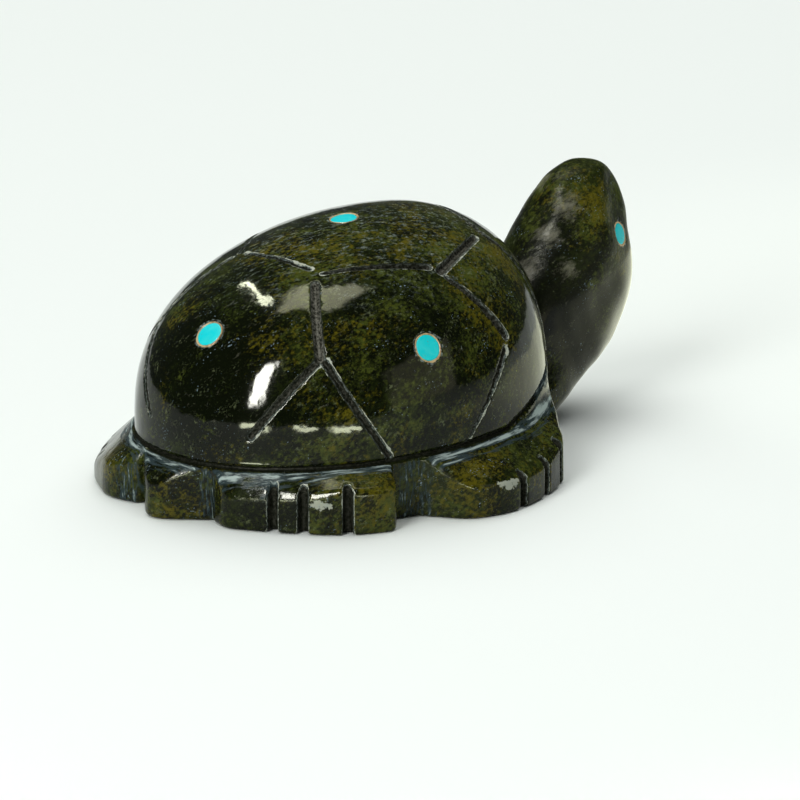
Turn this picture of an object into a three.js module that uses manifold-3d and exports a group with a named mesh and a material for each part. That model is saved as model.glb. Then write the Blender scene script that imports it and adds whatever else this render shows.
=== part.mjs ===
// A small turtle carved from one block of dark green serpentine, with round turquoise inlays.
// Millimetres, +Z up. It faces +X and rests on its flat underside at Z 0. The origin is the middle of its footprint.
import * as THREE from "three";
import { mergeVertices } from "three/addons/utils/BufferGeometryUtils.js";
import Module from "manifold-3d";

const wasm = await Module();
wasm.setup();

// Shell: the domed back. Its widest ring is an oval, and the rings above it shrink and move forward.
const shellLength = 37.8;
const shellWidth = 30.2;
const shellHeight = 21.6; // crown above the ground
const crownForward = 4.6; // how far the crown stands in front of the shell's middle
const widestLevel = 5.3; // height of the widest ring
const rimTuck = 0.35; // how far the side draws in from the widest ring down to the ground
const leanCurve = 2.6; // how late the rings start to move forward
const domeRise = 2.6; // the two exponents of the dome's curve: in height, and in reach
const domeReach = 1.95;

// Rim: the line where the shell ends, level at the back and climbing over the neck.
const rimLevel = 4.8; // at the tail
const rimSlope = 0.03; // gentle rise from tail to shoulder
const rimClimb = 0.3; // steeper rise from the shoulder to the neck
const shoulderReach = 4.5; // where the climb starts, in front of the shell's middle

// Feet and tail: blocks that stand out from under the shell, with tops that fall away from the rim.
const footReach = 7; // more than any foot stands out from the shell
const tailReach = 21; // the tail's blunt tip behind the shell's middle

// Cuts. The scute grooves have flat floors and sloping sides, the toe cuts are notches in the feet's ends.
const grooveWidth = 1.0;
const grooveDepth = 0.45;
const rimGrooveWidth = 0.75;
const rimGrooveDepth = 0.32;
const toeCutWidth = 0.9;
const toeCutDepth = 0.75;
const floorShare = 0.4; // width of a cut's floor, as a share of its mouth

// Neck and head, one tapering form that leans forward and lifts the snout.
const headHeight = 21.7; // snout above the ground
const headReach = 33.9; // throat in front of the shell's middle
const neckWidth = 9.4;
const cheekWidth = 7.35; // across the two cheek facets at the middles of the eyes
const cheekTurn = 20.5; // degrees that a cheek facet turns towards the snout
const cheekTilt = 16.8; // degrees that it tilts up
const mouthWidth = 0.7;
const mouthDepth = 0.4;
const mouthTurn = 28; // degrees that the mouth runs round the snout to each side

// Inlays: turquoise plugs bonded into drilled sockets, ground flush with the stone.
const inlayDiameter = 2.2;
const eyeDiameter = 1.9;
const inlayLength = 1.8;
const bondGap = 0.3; // bond line round and under a plug

const stoneColour = 0x23260f;
const turquoiseColour = 0x17b5b8;

const ringSides = 64;
const overcut = 1; // how far a cutter runs past the surface that it cuts
const halfLength = shellLength / 2;
const halfWidth = shellWidth / 2;
const up = new THREE.Vector3(0, 0, 1);
const degree = Math.PI / 180;
const range = (count) => [...Array(count).keys()];

// Solids

// A closed geometry as a solid that can be cut and joined.
function solidOf(geometry) {
  const bare = geometry.clone();
  bare.deleteAttribute("normal");
  bare.deleteAttribute("uv");
  const merged = mergeVertices(bare, 1e-4);
  return new wasm.Manifold(
    new wasm.Mesh({
      numProp: 3,
      vertProperties: merged.attributes.position.array,
      triVerts: new Uint32Array(merged.index.array),
    }),
  );
}

function geometryOf(solid) {
  const mesh = solid.getMesh();
  const geometry = new THREE.BufferGeometry();
  geometry.setAttribute("position", new THREE.BufferAttribute(mesh.vertProperties, 3));
  geometry.setIndex(new THREE.BufferAttribute(mesh.triVerts, 1));
  geometry.computeVertexNormals();
  return geometry;
}

// A geometry made at the origin along +Z, turned to point along a normal at a point.
function turnedTo(geometry, point, normal) {
  geometry.applyQuaternion(new THREE.Quaternion().setFromUnitVectors(up, normal));
  return geometry.translate(point.x, point.y, point.z);
}

// A solid's mirror image on the other side of the turtle. Turning the triangles round keeps their faces outwards.
function mirrored(solid) {
  const geometry = geometryOf(solid).scale(1, -1, 1);
  geometry.setIndex(Array.from(geometry.index.array).reverse());
  return solidOf(geometry);
}

// A solid through rings of points, all with as many points, which turn anticlockwise seen from the last ring.
// Each end closes with a fan to its middle.
function lofted(rings) {
  const sides = rings[0].length;
  const last = (rings.length - 1) * sides;
  const middle = (ring) =>
    ring.reduce((sum, point) => sum.add(point), new THREE.Vector3()).divideScalar(sides);
  const points = [...rings.flat(), middle(rings[0]), middle(rings[rings.length - 1])];
  const faces = [];
  for (let j = 0; j < sides; j++) {
    const next = (j + 1) % sides;
    for (let i = 0; i < last; i += sides) {
      faces.push(i + j, i + next, i + sides + next);
      faces.push(i + j, i + sides + next, i + sides + j);
    }
    faces.push(points.length - 2, next, j);
    faces.push(points.length - 1, last + j, last + next);
  }
  const geometry = new THREE.BufferGeometry();
  const numbers = points.flatMap((point) => point.toArray());
  geometry.setAttribute("position", new THREE.Float32BufferAttribute(numbers, 3));
  geometry.setIndex(faces);
  return solidOf(geometry);
}

// The shell's surface

const shareAbove = (z) => Math.max(0, (z - widestLevel) / (shellHeight - widestLevel));
const lean = (z) => crownForward * shareAbove(z) ** leanCurve;

// How wide a ring is, as a share of the widest one.
function spread(z) {
  const below = Math.max(0, (widestLevel - z) / widestLevel);
  const above = Math.max(0, 1 - shareAbove(z) ** domeRise);
  return above ** (1 / domeReach) - (rimTuck / halfWidth) * below ** 2;
}

// The point at a height and a bearing in degrees: 0 is the tail, 90 the turtle's right, 180 the head.
function shellPoint(z, bearing) {
  const x = lean(z) - spread(z) * halfLength * Math.cos(bearing * degree);
  const y = -spread(z) * halfWidth * Math.sin(bearing * degree);
  return new THREE.Vector3(x, y, z);
}

// The shell's point straight out from its inner middle through a place inside it.
function shellPointThrough(place) {
  const middle = new THREE.Vector3(crownForward / 2, 0, shellHeight / 3);
  const ray = place.clone().sub(middle).normalize();
  let near = 0;
  let far = shellLength;
  for (let step = 0; step < 40; step++) {
    const reach = (near + far) / 2;
    const point = middle.clone().addScaledVector(ray, reach);
    const x = (point.x - lean(point.z)) / halfLength;
    if (point.z < shellHeight && Math.hypot(x, point.y / halfWidth) < spread(point.z)) near = reach;
    else far = reach;
  }
  return middle.addScaledVector(ray, near);
}

// Outward normal, as the gradient of the dome's implicit function.
function shellNormal(point) {
  const step = 0.01;
  const level = (axis, offset) => {
    const moved = point.clone();
    moved[axis] += offset;
    const x = (moved.x - lean(moved.z)) / halfLength;
    return Math.hypot(x, moved.y / halfWidth) ** domeReach + shareAbove(moved.z) ** domeRise;
  };
  const slope = (axis) => level(axis, step) - level(axis, -step);
  return new THREE.Vector3(slope("x"), slope("y"), slope("z")).normalize();
}

function shellDome() {
  const levels = 16;
  const rings = range(levels + 1).map((i) => {
    const share = Math.sin(((i / levels) * Math.PI) / 2);
    return range(ringSides).map((j) =>
      shellPoint(shellHeight * Math.min(share, 0.9995), 180 + (360 * j) / ringSides),
    );
  });
  return lofted(rings);
}

// Height of the ledge where the feet's tops meet the shell, and of the rim, which leaves the ledge at the shoulder.
const ledgeHeight = (x) => rimLevel + rimSlope * (Math.min(x, shoulderReach) + halfLength);
const rimHeight = (x) => ledgeHeight(x) + rimClimb * Math.max(0, x - shoulderReach);

// Feet and tail

// Corners of the outlines in plan, as shares of the shell's half length and half width, each with the reach of its
// rounding as a share of the half width. The inner corners lie under the shell. All are given on the right side, where
// the outline runs forwards.
const hindFoot = [
  [-0.965, -0.25, 0.02],
  [-0.995, -0.38, 0.06],
  [-0.865, -0.68, 0.3],
  [-0.7, -0.945, 0.2],
  [-0.5, -1.06, 0.06],
  [-0.4, -0.85, 0.007],
  [-0.7, -0.1, 0.007],
];
const frontFoot = [
  [-0.29, -0.93, 0.02],
  [-0.17, -1.19, 0.1],
  [0.04, -1.275, 0.2],
  [0.33, -1.18, 0.159],
  [0.52, -1.07, 0.079],
  [0.655, -0.83, 0.053],
  [0.55, -0.4, 0.007],
  [0, -0.4, 0.007],
];
// The left hind foot stands out further than the right one.
const leftHindFoot = [
  [-1.015, -0.29, 0.033],
  [-1.045, -0.5, 0.106],
  [-0.87, -0.87, 0.172],
  [-0.55, -1.09, 0.053],
  [-0.4, -0.85, 0.007],
  [-0.7, -0.1, 0.007],
];
// The tail's tip is blunt and a little to the left.
const tailTip = -tailReach / halfLength;
const tail = [
  [tailTip, 0.09, 0.08],
  [0.99 * tailTip, -0.01, 0.06],
  [-0.965, -0.205, 0.02],
  [-0.7, -0.2, 0.007],
  [-0.7, 0.2, 0.007],
  [-0.985, 0.265, 0.026],
].reverse();

// How steeply the tops of feet and tail fall away from the rim: pairs of a bearing, 0 at the tail and negative on the
// left, and the slope there. The tail and front feet are gentle, and the right hind foot is steepest beside the tail.
const topSlopes = [
  [-180, 0.55],
  [-118, 0.55],
  [-106, 0.8],
  [-90, 0.7],
  [-76, 0.85],
  [-45, 1.0],
  [-27, 0.72],
  [-10, 0.85],
  [4, 0.78],
  [13, 0.9],
  [20, 1.7],
  [30, 1.4],
  [41, 0.95],
  [52, 0.5],
  [66, 0.55],
  [76, 0.85],
  [90, 0.7],
  [106, 0.8],
  [118, 0.55],
  [180, 0.55],
];

// The slope at a bearing, straight between the pairs on both sides of it.
function topSlope(bearing) {
  const next = Math.max(1, topSlopes.findIndex(([end]) => end >= bearing));
  const [start, first] = topSlopes[next - 1];
  const [end, last] = topSlopes[next];
  return THREE.MathUtils.lerp(first, last, (bearing - start) / (end - start));
}

function outline(corners) {
  const shape = new THREE.Shape();
  const place = ([x, y]) => new THREE.Vector2(x * halfLength, y * halfWidth);
  corners.forEach((corner, i) => {
    const here = place(corner);
    const towards = (step) => {
      const other = place(corners[(i + step + corners.length) % corners.length]);
      const reach = Math.min(corner[2] * halfWidth, other.distanceTo(here) / 2);
      return here.clone().addScaledVector(other.sub(here).normalize(), reach);
    };
    const start = towards(-1);
    const end = towards(1);
    if (i === 0) shape.moveTo(start.x, start.y);
    else shape.lineTo(start.x, start.y);
    shape.quadraticCurveTo(here.x, here.y, end.x, end.y);
  });
  shape.closePath();
  return shape;
}

function block(corners) {
  const depth = rimHeight(halfLength);
  return solidOf(
    new THREE.ExtrudeGeometry(outline(corners), { depth, bevelEnabled: false, curveSegments: 5 }),
  );
}

// The solid under the feet's tops: flat inside the shell, and falling outwards from the ledge.
function footRoof() {
  const ring = (out, drop) =>
    range(ringSides).map((j) => {
      const bearing = (360 * j) / ringSides - 180;
      const x = -halfLength * Math.cos(bearing * degree);
      const y = -halfWidth * Math.sin(bearing * degree);
      const level = ledgeHeight(x) - out * topSlope(bearing) - drop;
      const share = 1 + out / Math.hypot(x, y);
      return new THREE.Vector3(x * share, y * share, level);
    });
  return lofted([ring(footReach, rimLevel), ring(footReach, 0), ring(0, 0)]);
}

// A notch down a foot's end, at a share of the outline's length.
function toeCut(shape, share) {
  const tip = shape.getPointAt(share);
  const along = shape.getTangentAt(share);
  const out = new THREE.Vector2(along.y, -along.x);
  const corner = (side, away) =>
    tip.clone().addScaledVector(along, side).addScaledVector(out, away);
  const half = toeCutWidth / 2;
  const notch = new THREE.Shape([
    corner(-half * floorShare, -toeCutDepth),
    corner(-half, 0),
    corner(-half, overcut),
    corner(half, overcut),
    corner(half, 0),
    corner(half * floorShare, -toeCutDepth),
  ]);
  const depth = ledgeHeight(halfLength) + 2 * overcut;
  const prism = new THREE.ExtrudeGeometry(notch, { depth, bevelEnabled: false });
  return solidOf(prism.translate(0, 0, -overcut));
}

// Shares of each outline's length at which the toes are cut.
const hindToes = [0.164, 0.23, 0.327];
const leftHindToes = [0.23, 0.29, 0.35];
const frontToes = [0.207, 0.286, 0.355];

function feetAndTail() {
  const foot = (corners, toes) =>
    toes.reduce((solid, share) => solid.subtract(toeCut(outline(corners), share)), block(corners));
  const front = foot(frontFoot, frontToes);
  return block(tail)
    .add(foot(hindFoot, hindToes))
    .add(mirrored(foot(leftHindFoot, leftHindToes)))
    .add(front)
    .add(mirrored(front))
    .intersect(footRoof());
}

// Neck and head

// Level sections from the chest to the snout: nape and throat as shares of the head's reach, height as a share of the
// head's height, half width as a share of the neck's.
const headSections = [
  [0.3, 0.64, 0.0, 1.16],
  [0.33, 0.74, 0.091, 1.08],
  [0.36, 0.88, 0.202, 0.98],
  [0.41, 0.952, 0.293, 0.93],
  [0.46, 0.992, 0.404, 0.94],
  [0.52, 1.0, 0.515, 0.97],
  [0.572, 0.99, 0.613, 1.0],
  [0.625, 0.976, 0.702, 0.97],
  [0.672, 0.971, 0.803, 0.83],
  [0.712, 0.957, 0.898, 0.62],
  [0.743, 0.934, 0.948, 0.49],
  [0.777, 0.902, 0.982, 0.31],
  [0.837, 0.845, 1.0, 0.03],
];
const mouthSection = headSections[9];

// An eye's middle on its cheek, as shares of the head's reach and height.
const eyeReach = 0.882;
const eyeLevel = 0.7145;

// A point of a section's oval, at an angle from the front.
function headPoint([nape, throat, level, width], angle) {
  const middle = ((nape + throat) / 2) * headReach;
  const reach = ((throat - nape) / 2) * headReach;
  const x = middle + reach * Math.cos(angle);
  const y = (width * neckWidth * Math.sin(angle)) / 2;
  return new THREE.Vector3(x, y, level * headHeight);
}

function headLoft() {
  const sides = 32;
  return lofted(
    headSections.map((section) =>
      range(sides).map((j) => headPoint(section, (360 * j * degree) / sides)),
    ),
  );
}

// A short line cut across the front of the snout.
function mouth() {
  const steps = 6;
  const line = range(steps + 1).map((i) =>
    headPoint(mouthSection, THREE.MathUtils.lerp(-1, 1, i / steps) * mouthTurn * degree),
  );
  const normals = line.map(({ x, y }) => {
    const middle = ((mouthSection[0] + mouthSection[1]) / 2) * headReach;
    return new THREE.Vector3(x - middle, y, 0).normalize();
  });
  return grooveAlong(line, normals, mouthWidth, mouthDepth);
}

// Outward normal of the cheek facet on one side, 1 for the left and -1 for the right.
const cheekNormal = (side) =>
  new THREE.Vector3(
    Math.sin(cheekTurn * degree) * Math.cos(cheekTilt * degree),
    side * Math.cos(cheekTurn * degree) * Math.cos(cheekTilt * degree),
    Math.sin(cheekTilt * degree),
  );

// The eye's middle, which its cheek facet passes through.
const eyePoint = (side) =>
  new THREE.Vector3(eyeReach * headReach, (side * cheekWidth) / 2, eyeLevel * headHeight);

// Stone is ground off outside each cheek facet.
function neckAndHead() {
  const size = 2 * headReach;
  return [1, -1].reduce((head, side) => {
    const ground = new THREE.BoxGeometry(size, size, size).translate(0, 0, size / 2);
    turnedTo(ground, eyePoint(side), cheekNormal(side));
    return head.subtract(solidOf(ground));
  }, headLoft());
}

// Grooves

// A cutter along a line on a surface: a flat floor, sloping sides, and straight walls above the surface.
function grooveAlong(line, normals, width, depth) {
  const half = width / 2;
  const section = [
    [-half * floorShare, -depth],
    [half * floorShare, -depth],
    [half, 0],
    [half, overcut],
    [-half, overcut],
    [-half, 0],
  ];
  const rings = line.map((point, i) => {
    const before = line[Math.max(i - 1, 0)];
    const after = line[Math.min(i + 1, line.length - 1)];
    const along = after.clone().sub(before).normalize();
    const normal = normals[i];
    const side = normal.clone().cross(along).normalize();
    return section.map(([across, out]) =>
      point.clone().addScaledVector(side, across).addScaledVector(normal, out),
    );
  });
  return lofted(rings);
}

// Scute grooves, each from a start to an end that are a height, as a share of the shell's, and a bearing. The right side
// is given, and the left mirrors it but for the three rear ones, which run closer to the tail there.
const crownGrooves = [
  [[0.879, -26], [0.881, 24]],
  [[0.905, 132], [0.905, 228]],
];
const rearGrooves = [
  [[0.843, 31.6], [0.629, 43.4]],
  [[0.613, 42.9], [0.346, 26.5]],
  [[0.613, 45.1], [0.252, 64.7]],
];
const leftRearGrooves = [
  [[0.853, -32], [0.638, -35]],
  [[0.61, -34], [0.35, -13.5]],
  [[0.61, -38], [0.26, -56]],
];
const sideGrooves = [
  [[0.871, 31.7], [0.869, 79.5]],
  [[0.85, 85], [0.903, 120.3]],
  [[0.829, 86.7], [0.599, 105.8]],
  [[0.552, 104.6], [0.257, 88.1]],
  [[0.892, 131], [0.455, 138]],
];

// A groove follows the shell straight from its start to its end.
function scuteGrooves() {
  const leftSide = sideGrooves.map((ends) => ends.map(([level, bearing]) => [level, -bearing]));
  const all = [crownGrooves, rearGrooves, leftRearGrooves, sideGrooves, leftSide].flat();
  return all.map((ends) => {
    const [start, end] = ends.map(([level, bearing]) => shellPoint(level * shellHeight, bearing));
    const steps = 6;
    const line = range(steps + 1).map((i) =>
      shellPointThrough(start.clone().lerp(end, i / steps)),
    );
    return grooveAlong(line, line.map(shellNormal), grooveWidth, grooveDepth);
  });
}

// The groove that parts the shell from what is below it, from one side of the neck round the tail to the other.
function rimGroove() {
  const steps = 48;
  const furthest = 150;
  const line = range(steps + 1).map((i) => {
    const bearing = THREE.MathUtils.lerp(-furthest, furthest, i / steps);
    const level = rimHeight(-halfLength * Math.cos(bearing * degree));
    return shellPoint(level, bearing);
  });
  return grooveAlong(line, line.map(shellNormal), rimGrooveWidth, rimGrooveDepth);
}

// Inlays

// A cylinder that ends a length under the surface at a point and stands out of it above.
function drilled(point, normal, diameter, length) {
  const sides = 24;
  const radius = diameter / 2;
  const geometry = new THREE.CylinderGeometry(radius, radius, length + overcut, sides);
  geometry.rotateX(90 * degree).translate(0, 0, (overcut - length) / 2);
  return solidOf(turnedTo(geometry, point, normal));
}

const onShell = (name, level, bearing) => {
  const point = shellPoint(level * shellHeight, bearing);
  return { name, point, normal: shellNormal(point), diameter: inlayDiameter };
};
const inlays = [
  onShell("inlay_crown", 0.986, -5),
  onShell("inlay_rear", 0.675, 2),
  onShell("inlay_right", 0.628, 76),
  onShell("inlay_left", 0.628, -76),
  { name: "eye_right", point: eyePoint(-1), normal: cheekNormal(-1), diameter: eyeDiameter },
  { name: "eye_left", point: eyePoint(1), normal: cheekNormal(1), diameter: eyeDiameter },
];

// The whole

const uncut = shellDome().add(feetAndTail()).add(neckAndHead());
const sockets = inlays.map(({ point, normal, diameter }) =>
  drilled(point, normal, diameter + 2 * bondGap, inlayLength + bondGap),
);
const cutters = [...scuteGrooves(), rimGroove(), mouth(), ...sockets];
const stone = cutters.reduce((solid, cutter) => solid.subtract(cutter), uncut);

const group = new THREE.Group();

function addPiece(name, solid, colour, roughness) {
  const material = new THREE.MeshStandardMaterial({ color: colour, roughness, metalness: 0 });
  const mesh = new THREE.Mesh(geometryOf(solid), material);
  mesh.name = name;
  group.add(mesh);
}

addPiece("stone_turtle", stone, stoneColour, 0.15);
for (const { name, point, normal, diameter } of inlays) {
  const plug = drilled(point, normal, diameter, inlayLength).intersect(uncut);
  addPiece(name, plug, turquoiseColour, 0.3);
}
group.position.x = -new THREE.Box3().setFromObject(group).getCenter(new THREE.Vector3()).x;

export default group;
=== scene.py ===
"""A small turtle carved from one block of dark green serpentine, polished, and inlaid with turquoise.

Lengths are in metres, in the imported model's frame: +X towards the head, +Y to the turtle's left, +Z up.
The forms are worked out about the shell's middle, which lies on the ground at SHELL_MIDDLE.
"""

import functools
import math

import bpy
import numpy as np
import openvdb as vdb
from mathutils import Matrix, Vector


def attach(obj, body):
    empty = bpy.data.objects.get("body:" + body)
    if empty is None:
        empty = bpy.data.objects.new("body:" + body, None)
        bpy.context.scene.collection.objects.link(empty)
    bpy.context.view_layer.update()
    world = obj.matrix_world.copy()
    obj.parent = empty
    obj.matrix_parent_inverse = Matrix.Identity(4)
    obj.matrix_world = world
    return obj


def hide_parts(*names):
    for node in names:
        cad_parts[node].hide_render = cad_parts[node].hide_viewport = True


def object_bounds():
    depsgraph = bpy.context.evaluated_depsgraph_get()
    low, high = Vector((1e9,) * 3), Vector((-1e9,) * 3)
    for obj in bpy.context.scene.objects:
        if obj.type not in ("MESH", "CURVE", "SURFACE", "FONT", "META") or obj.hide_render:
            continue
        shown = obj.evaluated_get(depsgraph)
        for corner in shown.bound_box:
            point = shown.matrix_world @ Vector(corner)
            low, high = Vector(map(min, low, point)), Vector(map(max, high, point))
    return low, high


bl_info = {
    "name": "Carved Stone Turtle",
    "version": (1, 0, 0),
    "blender": (4, 5, 0),
    "location": "3D View > Sidebar > Turtle",
    "description": "A polished serpentine turtle with turquoise inlays, on a pale studio floor",
    "category": "Add Mesh",
}

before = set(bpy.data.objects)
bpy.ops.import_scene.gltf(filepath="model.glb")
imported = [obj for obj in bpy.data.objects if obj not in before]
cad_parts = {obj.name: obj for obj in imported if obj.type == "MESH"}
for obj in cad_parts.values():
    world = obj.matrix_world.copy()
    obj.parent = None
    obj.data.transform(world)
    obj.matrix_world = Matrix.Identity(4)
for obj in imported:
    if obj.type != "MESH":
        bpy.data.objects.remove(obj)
CAD_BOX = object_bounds()
MM = 0.001
HEAD_REACH = 33.9 * MM  # throat in front of the shell's middle
SHELL_MIDDLE = CAD_BOX[1].x - HEAD_REACH


# Sizes and colours

def linear(hex_colour):
    """An sRGB hex colour as linear red, green and blue."""
    channels = [int(hex_colour[i:i + 2], 16) / 255 for i in (0, 2, 4)]
    return [c / 12.92 if c <= 0.04045 else ((c + 0.055) / 1.055) ** 2.4 for c in channels]


def length(name, millimetres, description):
    return bpy.props.FloatProperty(
        name=name, description=description, default=millimetres * MM, unit="LENGTH", precision=5)


def share(name, default, description):
    return bpy.props.FloatProperty(name=name, description=description, default=default, precision=3)


def angle(name, degrees, description):
    return bpy.props.FloatProperty(
        name=name, description=description, default=math.radians(degrees), subtype="ANGLE")


def colour(name, hex_colour, description):
    return bpy.props.FloatVectorProperty(
        name=name, description=description, default=linear(hex_colour), subtype="COLOR", size=3,
        min=0, max=1)


class ShellSizes(bpy.types.PropertyGroup):
    """The domed back and the rim where it ends"""
    length: length("Length", 37.8, "The widest ring, from tail to head")
    width: length("Width", 30.2, "The widest ring, from side to side")
    height: length("Height", 21.6, "Crown above the ground")
    crown_forward: length("Crown forward", 4.6, "How far the crown stands in front of the middle")
    widest_level: length("Widest level", 5.3, "Height of the widest ring")
    rim_tuck: length("Rim tuck", 0.35, "How far the side draws in down to the ground")
    lean_curve: share("Lean curve", 2.6, "How late the rings start to move forward")
    dome_rise: share("Dome rise", 2.6, "Exponent of the dome's curve in height")
    dome_reach: share("Dome reach", 1.95, "Exponent of the dome's curve in reach")
    rim_level: length("Rim level", 4.8, "Height of the rim at the tail")
    rim_slope: share("Rim slope", 0.03, "Rise of the rim from tail to shoulder")
    rim_climb: share("Rim climb", 0.3, "Steeper rise of the rim over the neck")
    shoulder_reach: length("Shoulder", 4.5, "Where the climb starts, in front of the middle")
    unevenness: length("Unevenness", 0.035, "How far the hand-ground surface waves")


class FootSizes(bpy.types.PropertyGroup):
    """The feet and tail under the rim"""
    tail_reach: length("Tail reach", 21, "The tail's blunt tip behind the shell's middle")
    edge: length("Edge", 0.45, "Reach of the rounding along their edges")
    toe_width: length("Toe cut width", 0.9, "Mouth of a cut between toes")
    toe_depth: length("Toe cut depth", 0.85, "How deep a cut between toes goes")
    toe_floor: share("Toe cut floor", 0.55, "Width of its floor, as a share of its mouth")


class HeadSizes(bpy.types.PropertyGroup):
    """The neck and head"""
    height: length("Height", 21.7, "Snout above the ground")
    neck_width: length("Neck width", 9.4, "Across the neck")
    cheek_width: length("Cheek width", 7.35, "Across the cheek facets at the eyes")
    cheek_turn: angle("Cheek turn", 20.5, "How far a cheek facet turns towards the snout")
    cheek_tilt: angle("Cheek tilt", 16.8, "How far a cheek facet tilts up")
    mouth_width: length("Mouth width", 0.7, "Width of the line across the snout")
    mouth_depth: length("Mouth depth", 0.35, "Depth of the line across the snout")
    mouth_turn: angle("Mouth turn", 28, "How far the mouth runs round the snout to each side")
    unevenness: length("Unevenness", 0.08, "How far the hand-ground surface waves")


class CutSizes(bpy.types.PropertyGroup):
    """Grooves ground into the shell"""
    groove_width: length("Groove width", 1.0, "A scute groove at the surface")
    groove_depth: length("Groove depth", 0.45, "A scute groove at its middle")
    rim_width: length("Rim groove width", 0.75, "The groove under the rim")
    rim_depth: length("Rim groove depth", 0.32, "The groove under the rim at its middle")
    wall: length("Groove wall", 0.4, "How wide each sloping wall of a groove is")


class InlaySizes(bpy.types.PropertyGroup):
    """Turquoise plugs and what bonds them"""
    diameter: length("Diameter", 2.2, "A plug on the shell")
    eye_diameter: length("Eye diameter", 1.9, "A plug that is an eye")
    depth: length("Depth", 1.8, "How deep a plug goes")
    bond: length("Bond", 0.1, "Width of the bond line round a plug")


class Colours(bpy.types.PropertyGroup):
    """What the stones look like"""
    # Night green is also painted as shade: on the floors of the cuts and on the neck under the head
    night: colour("Night green", "0a0e04", "The darkest stone")
    deep: colour("Deep green", "1e250b", "Most of the stone")
    olive: colour("Olive", "424a1a", "Olive patches")
    ochre: colour("Ochre", "575110", "Ochre-brown patches")
    pale: colour("Pale olive", "7d8660", "Small pale clouds")
    fleck: colour("Fleck", "8599a6", "Fine blue-grey specks")
    ground: colour("Ground stone", "6b6a60", "Stone ground dull in the grooves")
    # Also painted as highlights along the crest of the feet and tail, on the feet's walls and on the neck and
    # head
    chip: colour("Chipped stone", "d2cfb4", "Bruised stone along cut edges")
    # Also mixed into the highlights painted on the feet's walls and crest, and painted as light on the walls
    # inside bruised grooves
    scour: colour("Scoured stone", "a9b9b4", "Stone scoured pale under the rim")
    slate: colour("Slate", "2c3a3e", "Blue-grey stone between the pale streaks")
    turquoise: colour("Turquoise", "00d0d6", "The inlays")
    turquoise_pale: colour("Pale turquoise", "46d8d6", "Paler clouds of the inlays")
    bond: colour("Bond", "bda274", "The hard glue round the inlays")
    bond_dark: colour("Dark bond", "7a4a1e", "Glue that has taken up dust")
    floor: colour("Floor", "f0f6f1", "The studio floor")


class StageSizes(bpy.types.PropertyGroup):
    """The camera and its lights"""
    azimuth: angle("Azimuth", -45, "Where the camera stands round the turtle, 0 on its right side")
    elevation: angle("Elevation", 15.8, "How far the camera stands above the horizon")
    distance: bpy.props.FloatProperty(
        name="Distance", description="Camera to the turtle", default=0.4, unit="LENGTH")
    across: length("Across", 66.6667, "Width of the view at the turtle")
    aim_right: length("Aim right", 4.746, "How far right of the shell's middle the camera aims")
    aim_up: length("Aim up", 5.625, "How far above the shell's middle the camera aims")


class TurtleSettings(bpy.types.PropertyGroup):
    """All the turtle's sizes and colours"""
    shell: bpy.props.PointerProperty(type=ShellSizes)
    feet: bpy.props.PointerProperty(type=FootSizes)
    head: bpy.props.PointerProperty(type=HeadSizes)
    cuts: bpy.props.PointerProperty(type=CutSizes)
    inlays: bpy.props.PointerProperty(type=InlaySizes)
    colours: bpy.props.PointerProperty(type=Colours)
    stage: bpy.props.PointerProperty(type=StageSizes)


# Blends and unevenness

def smooth_min(a, b, reach):
    """The lesser of two distances. Where they differ by less than reach, a parabola rounds the corner."""
    overlap = np.maximum(reach - np.abs(a - b), 0) / reach
    return np.minimum(a, b) - overlap * overlap * reach / 4


def smooth_max(a, b, reach):
    """The greater of two distances, with the corner rounded in the same way."""
    return -smooth_min(-a, -b, reach)


def smooth_step(low, high, value):
    """0 up to low, 1 from high, and 3t^2 - 2t^3 between them."""
    t = np.clip((value - low) / (high - low), 0, 1)
    return t * t * (3 - 2 * t)


def ripple(x, y, z, pitch, seed, waves=7):
    """Smooth unevenness, mostly between -1 and 1: the sum of sine waves in seeded directions, each about
    a pitch long, over the root of their count."""
    random = np.random.default_rng(seed)
    total = 0
    for _ in range(waves):
        way = random.normal(size=3)
        way *= 2 * math.pi / (pitch * random.uniform(0.7, 1.4) * np.linalg.norm(way))
        total = total + np.sin(way[0] * x + way[1] * y + way[2] * z + random.uniform(0, 2 * math.pi))
    return total / math.sqrt(waves)


# The shell

def shell_lean(s, z):
    """How far a ring's middle stands forward: crown_forward times its share of the height above the
    widest ring, to the power lean_curve. Also its slope."""
    rise = s.height - s.widest_level
    part = np.clip((z - s.widest_level) / rise, 0, 1.5)
    lean = s.crown_forward * part ** s.lean_curve
    slope = s.crown_forward * s.lean_curve * part ** (s.lean_curve - 1) / rise
    return part, lean, slope


def shell_point(s, level, bearing):
    """The shell's point at a share of its height and a bearing in degrees: 0 tail, 90 right, 180 head.
    A ring's reach is (1 - part^dome_rise)^(1 / dome_reach) of the widest ring's."""
    z = level * s.height
    part, lean, _ = shell_lean(s, z)
    below = max(0, 1 - z / s.widest_level)
    reach = (1 - part ** s.dome_rise) ** (1 / s.dome_reach) - 2 * s.rim_tuck / s.width * below ** 2
    turn = math.radians(bearing)
    return np.array([
        lean - reach * s.length / 2 * math.cos(turn), -reach * s.width / 2 * math.sin(turn), z])


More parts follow.
